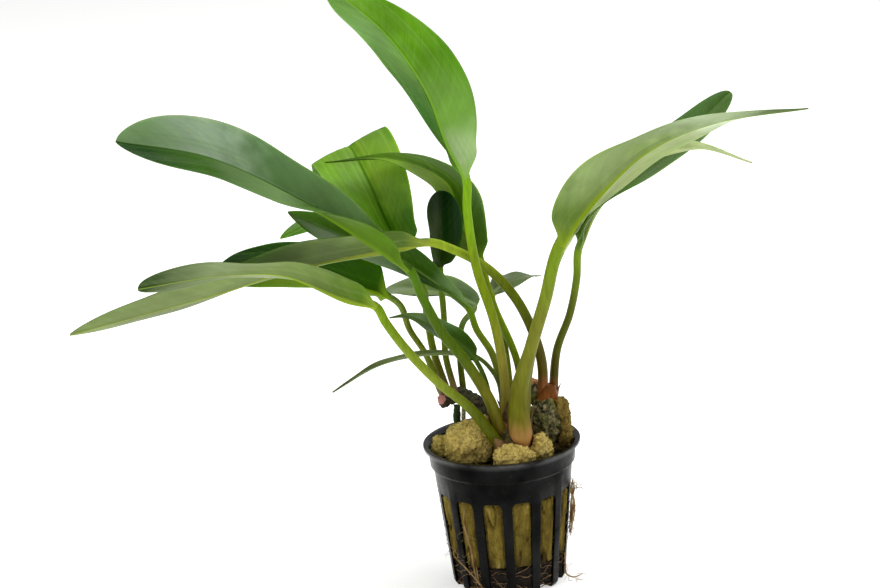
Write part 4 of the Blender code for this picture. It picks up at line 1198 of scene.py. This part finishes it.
def build_tangle(name, count, seed):
    """Fine roots that lie tangled in the foot of the pot, just inside its wall and behind its slots."""
    radius, sides = 0.16, 5
    lowest, highest = 1.4, 11
    random = np.random.default_rng(seed)
    strands = []
    for _ in range(count):
        bearing, height = random.uniform(0, 360), random.uniform(0.8, 9)
        turn, climb = random.uniform(1, 5), random.normal() * 0.25
        strand = []
        for _ in range(14):
            outside = -0.5 - random.uniform(0, 0.9)
            strand.append(wall_place(bearing, outside, float(np.clip(height, lowest, highest))))
            bearing += turn
            climb += random.normal() * 0.3
            height += climb
        strands.append(even_points(Route(strand)))
    return fibre_mesh(name, strands, radius, sides)


# The fleshy sheath that wraps the feet of the two stalks at the right, in the terms of a leaf.
SHEATH = Leaf([(15.8, 1.8, 55), (16.0, 2.0, 60), (16.2, 2.4, 65)], [(16.6, 2.6, 70)], (3.6, 3.8, 2.9),
              0, 0, 0, [(0, -1, 0)] * 3, (0, 0, 0), (0, 0))

# Papery scales round the stalks' feet: the leaf, degrees round its stalk, height and half width.
SCALES = [
    ("small_middle", 10, 9, 2.4), ("top", 60, 10, 2.4), ("left_upper", -30, 7, 2.6),
    ("left_inner", 20, 9, 2.2), ("right_narrow", 30, 8, 2.2), ("right_back", -20, 6, 2.6),
    ("left_lower", 40, 6, 2.6), ("right_front", 100, 7, 3.6),
]


def build_scale(n, leaf, turn, height, half_width):
    """A thin pointed scale, wrapped round the foot of a leaf's stalk and standing off it at its tip."""
    columns, rows = 12, 16
    clearance, stand_off = 0.2, 0.9
    route, neck = leaf_route(leaf)
    piece, shares, _ = add_sheet(f"scale_{n}", columns, rows)
    facing = -Vector(leaf.facing[0]).normalized()
    points = []
    for u, v in shares:
        distance = v * height
        ahead = route.direction(distance)
        front = (facing - facing.dot(ahead) * ahead).normalized()
        radius = float(eased(leaf.radii, distance / neck)) + clearance + stand_off * v**3
        bearing = math.radians(turn) + (2 * u - 1) * half_width * (1 - v**1.7) / radius
        out = front * math.cos(bearing) + ahead.cross(front) * math.sin(bearing)
        points.append(route.at(distance) + out * radius)
    move_points(piece.data, np.array(points) * MM)
    paper = piece.modifiers.new("paper", "SOLIDIFY")
    paper.thickness = 0.00014
    apply_modifiers(piece)
    bpy.ops.object.shade_smooth_by_angle(angle=math.radians(60))
    return piece


def build_root(name, settings, seed):
    """A main root of one or more strands, with fine side roots that wander off it and sag."""
    floor_gap, step, wander = 0.2, 0.55, 0.45
    hair_radius, hair_sides, hair_steps = 0.07, 4, 9
    points, radius, count, spread = ROOT_ROUTES[name]
    places = [wall_place(*p) for p in points]
    route = Route(places)
    random = np.random.default_rng(seed)
    strands = []
    for _ in range(count):
        moved = [place + Vector(random.normal(size=3)) * spread for place in places]
        strands.append(even_points(Route(moved)))
    piece = fibre_mesh(name + "_strands", strands, radius, settings.sides)
    hairs = []
    for _ in range(settings.hairs * (1 + count // 3)):
        start = route.at(random.uniform(0, route.length))
        ahead = Vector(random.normal(size=3)).normalized()
        hair = [start]
        for _ in range(hair_steps):
            ahead = (ahead + Vector(random.normal(size=3)) * wander + Vector((0, 0, -0.12))).normalized()
            place = hair[-1] + ahead * step
            hair.append(Vector((place.x, place.y, max(place.z, floor_gap))))
        hairs.append(hair)
    side = fibre_mesh(name + "_hairs", hairs, hair_radius, hair_sides)
    make_active(piece)
    side.select_set(True)
    bpy.ops.object.join()
    piece.data.materials.append(dry_skin(name + "_skin", "#7c5420", "#a8905c"))
    return piece


class PLANT_OT_stage(bpy.types.Operator):
    """Lay the floor, hang the lights and stand the camera where the photograph was taken"""

    bl_idname = "plant.stage"
    bl_label = "Stage"

    def execute(self, context):
        settings = context.scene.plant.stage
        white = (1, 1, 1, 1)
        floor_size, below_pot = 14, 0.00002
        deselect_all()
        bpy.ops.mesh.primitive_plane_add(size=floor_size, location=(0, 0, -below_pot))
        floor = context.object
        floor.name = "floor"
        made, tree, shader = new_material("floor_paint")
        feed(tree, shader, {
            "Base Color": settings.floor[:], "Roughness": 0.9, "Specular IOR Level": 0.1,
            "Emission Color": white, "Emission Strength": 0.5})
        floor.data.materials.append(made)

        world = bpy.data.worlds.new("white_room")
        world.use_nodes = True
        feed(world.node_tree, world.node_tree.nodes["Background"], {"Color": white, "Strength": settings.sky})
        context.scene.world = world
        context.scene.view_settings.view_transform = "Standard"

        middle = Vector((0, 0, 0.1))
        for name, place, power, size in (
            ("overhead", (0.25, 0.15, 1.1), settings.key, 1.1),
            ("left_front", (-0.9, -0.7, 0.7), settings.fill, 0.8),
        ):
            bpy.ops.object.light_add(type="AREA", location=place)
            light = context.object
            light.name = name
            light.data.energy = power
            light.data.size = size
            light.rotation_euler = (middle - Vector(place)).to_track_quat("-Z", "Y").to_euler()

        turn = Matrix.Rotation(math.pi / 2 - settings.down, 4, "X") @ Matrix.Rotation(settings.roll, 4, "Z")
        bpy.ops.object.camera_add(location=settings.eye[:], rotation=turn.to_euler())
        camera = context.object
        camera.data.lens = settings.lens
        camera.data.sensor_width = 36
        camera.data.clip_start = 0.05
        camera.data.clip_end = 30
        context.scene.camera = camera
        return {"FINISHED"}


class PLANT_OT_blades(bpy.types.Operator):
    """Model every leaf's blade, with its midrib, side veins and two skins"""

    bl_idname = "plant.blades"
    bl_label = "Leaf blades"

    def execute(self, context):
        slots = {entry["node"]: entry["material_slot"] for entry in frame["record"]["subparts"]}
        for name, leaf in LEAVES.items():
            piece = build_blade(name, leaf, context.scene.plant.blades)
            piece.name = "leaf_" + name
            finished(piece, slots["blade_" + name], "blade_" + name)
        return {"FINISHED"}


class PLANT_OT_stalks(bpy.types.Operator):
    """Model every leaf's stalk, from its foot in the rhizome to the blade's neck"""

    bl_idname = "plant.stalks"
    bl_label = "Leaf stalks"

    def execute(self, context):
        for name, leaf in LEAVES.items():
            piece = build_stalk(name, leaf, context.scene.plant.stalks)
            piece.name = "leaf_stalk_" + name
            finished(piece, "stalk", "stalk_" + name)
        sheath = build_stalk("sheath", SHEATH, context.scene.plant.stalks)
        sheath.name = "right_sheath"
        finished(sheath, "stalk")
        return {"FINISHED"}


class PLANT_OT_pot(bpy.types.Operator):
    """Mould the slotted pot"""

    bl_idname = "plant.pot"
    bl_label = "Net pot"

    def execute(self, context):
        finished(build_pot(context.scene.plant.pot), "pot", "pot")
        return {"FINISHED"}


class PLANT_OT_wool(bpy.types.Operator):
    """Fill the pot with mineral wool and lay the loose pieces on it"""

    bl_idname = "plant.wool"
    bl_label = "Mineral wool"

    def execute(self, context):
        settings, pot = context.scene.plant.wool, context.scene.plant.pot
        tan = mineral_wool("mineral_wool", settings.colour[:], "#d6bc64", stretch=0.8, top_darkening=0.0)
        folded = mineral_wool("mineral_wool_folded", linear("#82702c"), "#4c3c14", stretch=0.3, top_darkening=0.9)
        brown = mineral_wool("mineral_wool_brown", linear("#a08844"), "#5c481c", stretch=0.3, top_darkening=0.0)
        skins = {"wool_plug": folded, "wool_right_strip": brown}
        uneven = settings.uneven / MM
        swell = 0.75
        pieces = []
        for n, node in enumerate(WOOL_PIECES):
            piece = fine_copy(node, settings.cell)
            seed = n * 3.1
            if node == "wool_plug":
                fill_slots(piece, pot, swell)
                layers = [(5.0, uneven * 1.2), (1.4, uneven * 0.6), (0.6, uneven * 0.6)]
                roughen(piece, layers, seed, stretch=0.35, crease=1.3, crease_size=3.2)
                hold_in(piece, pot, swell)
            else:
                layers = [(4.5, uneven * 1.6), (1.5, uneven * 1.5), (0.7, uneven * 1.3)]
                roughen(piece, layers, seed, crease=0.35, crease_size=1.6)
            piece.data.materials.append(skins.get(node, tan))
            finished(piece, "wool", node)
            pieces.append(piece)
        fibres = build_fibres(pieces, settings)
        fibres.data.materials.append(brown)
        finished(fibres, "wool")
        return {"FINISHED"}


class PLANT_OT_rhizomes(bpy.types.Operator):
    """Model the knobbly rhizomes and the roots that anchor them"""

    bl_idname = "plant.rhizomes"
    bl_label = "Rhizomes"

    def execute(self, context):
        settings = context.scene.plant.rhizomes
        mat_swell = -0.6
        # Each piece's share of the knobs' height, and its skin.
        barks = {
            "rhizome_left": (1.0, "dark_bark", "#1a150c", "#60503a", "#3c4c24", 0.6, "#c88c80"),
            "rhizome_main": (1.0, "young_bark", "#3c2414", "#845c3c", "#445020", 0.5, "#a06440"),
            "rhizome_right": (1.9, "mossy_bark", "#241c10", "#b4a878", "#6c7424", 0.65, "#c08858"),
            "root_anchor_dark": (0.4, "green_root", "#1c2814", "#38501f", "#27341a", 0.3, "#38501f"),
            "root_anchor_pale": (0.4, "pale_root", "#84845a", "#c8c4a0", "#70784c", 0.2, "#c8c4a0"),
            # The root mat's near-black tones are partly soil and roots, partly painted shade in the pot's
            # foot.
            "root_mat": (0.4, "soil_roots_and_painted_shade", "#080502", "#2c1e10", "#1c180c", 0.4, "#2c1e10"),
        }
        for n, (node, (share, *skin)) in enumerate(barks.items()):
            piece = fine_copy(node, settings.cell)
            mark_fresh(piece, FRESH.get(node, ()))
            if node == "root_mat":
                fill_slots(piece, context.scene.plant.pot, mat_swell)
            rough = settings.knobs / MM * share
            roughen(piece, [(2.4, rough * 1.5), (1.0, rough * 0.9), (0.45, rough * 0.35)], n * 5.3)
            piece.data.materials.append(bark_skin(*skin))
            finished(piece, node.split("_")[0], node)
        scales = [build_scale(n, LEAVES[name], *shape) for n, (name, *shape) in enumerate(SCALES)]
        make_active(scales[0])
        for scale in scales[1:]:
            scale.select_set(True)
        bpy.ops.object.join()
        scales[0].name = "papery_scales"
        scales[0].data.materials.append(dry_skin("papery_scale", "#4c3418", "#84643c"))
        finished(scales[0], "rhizome")
        return {"FINISHED"}


class PLANT_OT_roots(bpy.types.Operator):
    """Grow the roots that come out through the pot's slots"""

    bl_idname = "plant.roots"
    bl_label = "Roots"

    def execute(self, context):
        for n, name in enumerate(ROOT_ROUTES):
            finished(build_root(name, context.scene.plant.roots, 70 + n), "root", name)
        tangle = build_tangle("root_tangle", 70, 90)
        tangle.data.materials.append(dry_skin("tangled_root", "#4c3418", "#94784a"))
        finished(tangle, "root")
        return {"FINISHED"}


OPERATORS = (PLANT_OT_stage, PLANT_OT_pot, PLANT_OT_wool, PLANT_OT_rhizomes, PLANT_OT_roots, PLANT_OT_stalks,
             PLANT_OT_blades)


class PLANT_PT_panel(bpy.types.Panel):
    """Lists the plant's groups of pieces and their sizes"""

    bl_idname = "PLANT_PT_panel"
    bl_label = "Potted anubias"
    bl_space_type = "VIEW_3D"
    bl_region_type = "UI"
    bl_category = "Plant"

    def draw(self, context):
        for operator in OPERATORS:
            self.layout.operator(operator.bl_idname)
        for group in PlantSettings.__annotations__:
            settings = getattr(context.scene.plant, group)
            box = self.layout.box()
            for name in type(settings).__annotations__:
                box.prop(settings, name)


CLASSES = (BladeSettings, StalkSettings, PotSettings, WoolSettings, RhizomeSettings, RootSettings,
           StageSettings, PlantSettings, *OPERATORS, PLANT_PT_panel)


def register():
    for made in CLASSES:
        bpy.utils.register_class(made)
    bpy.types.Scene.plant = PointerProperty(type=PlantSettings)


def unregister():
    del bpy.types.Scene.plant
    for made in reversed(CLASSES):
        bpy.utils.unregister_class(made)


def main():
    register()
    bpy.ops.plant.stage()
    bpy.ops.plant.pot()
    bpy.ops.plant.wool()
    bpy.ops.plant.rhizomes()
    bpy.ops.plant.roots()
    bpy.ops.plant.stalks()
    bpy.ops.plant.blades()


if __name__ == "__main__":
    main()
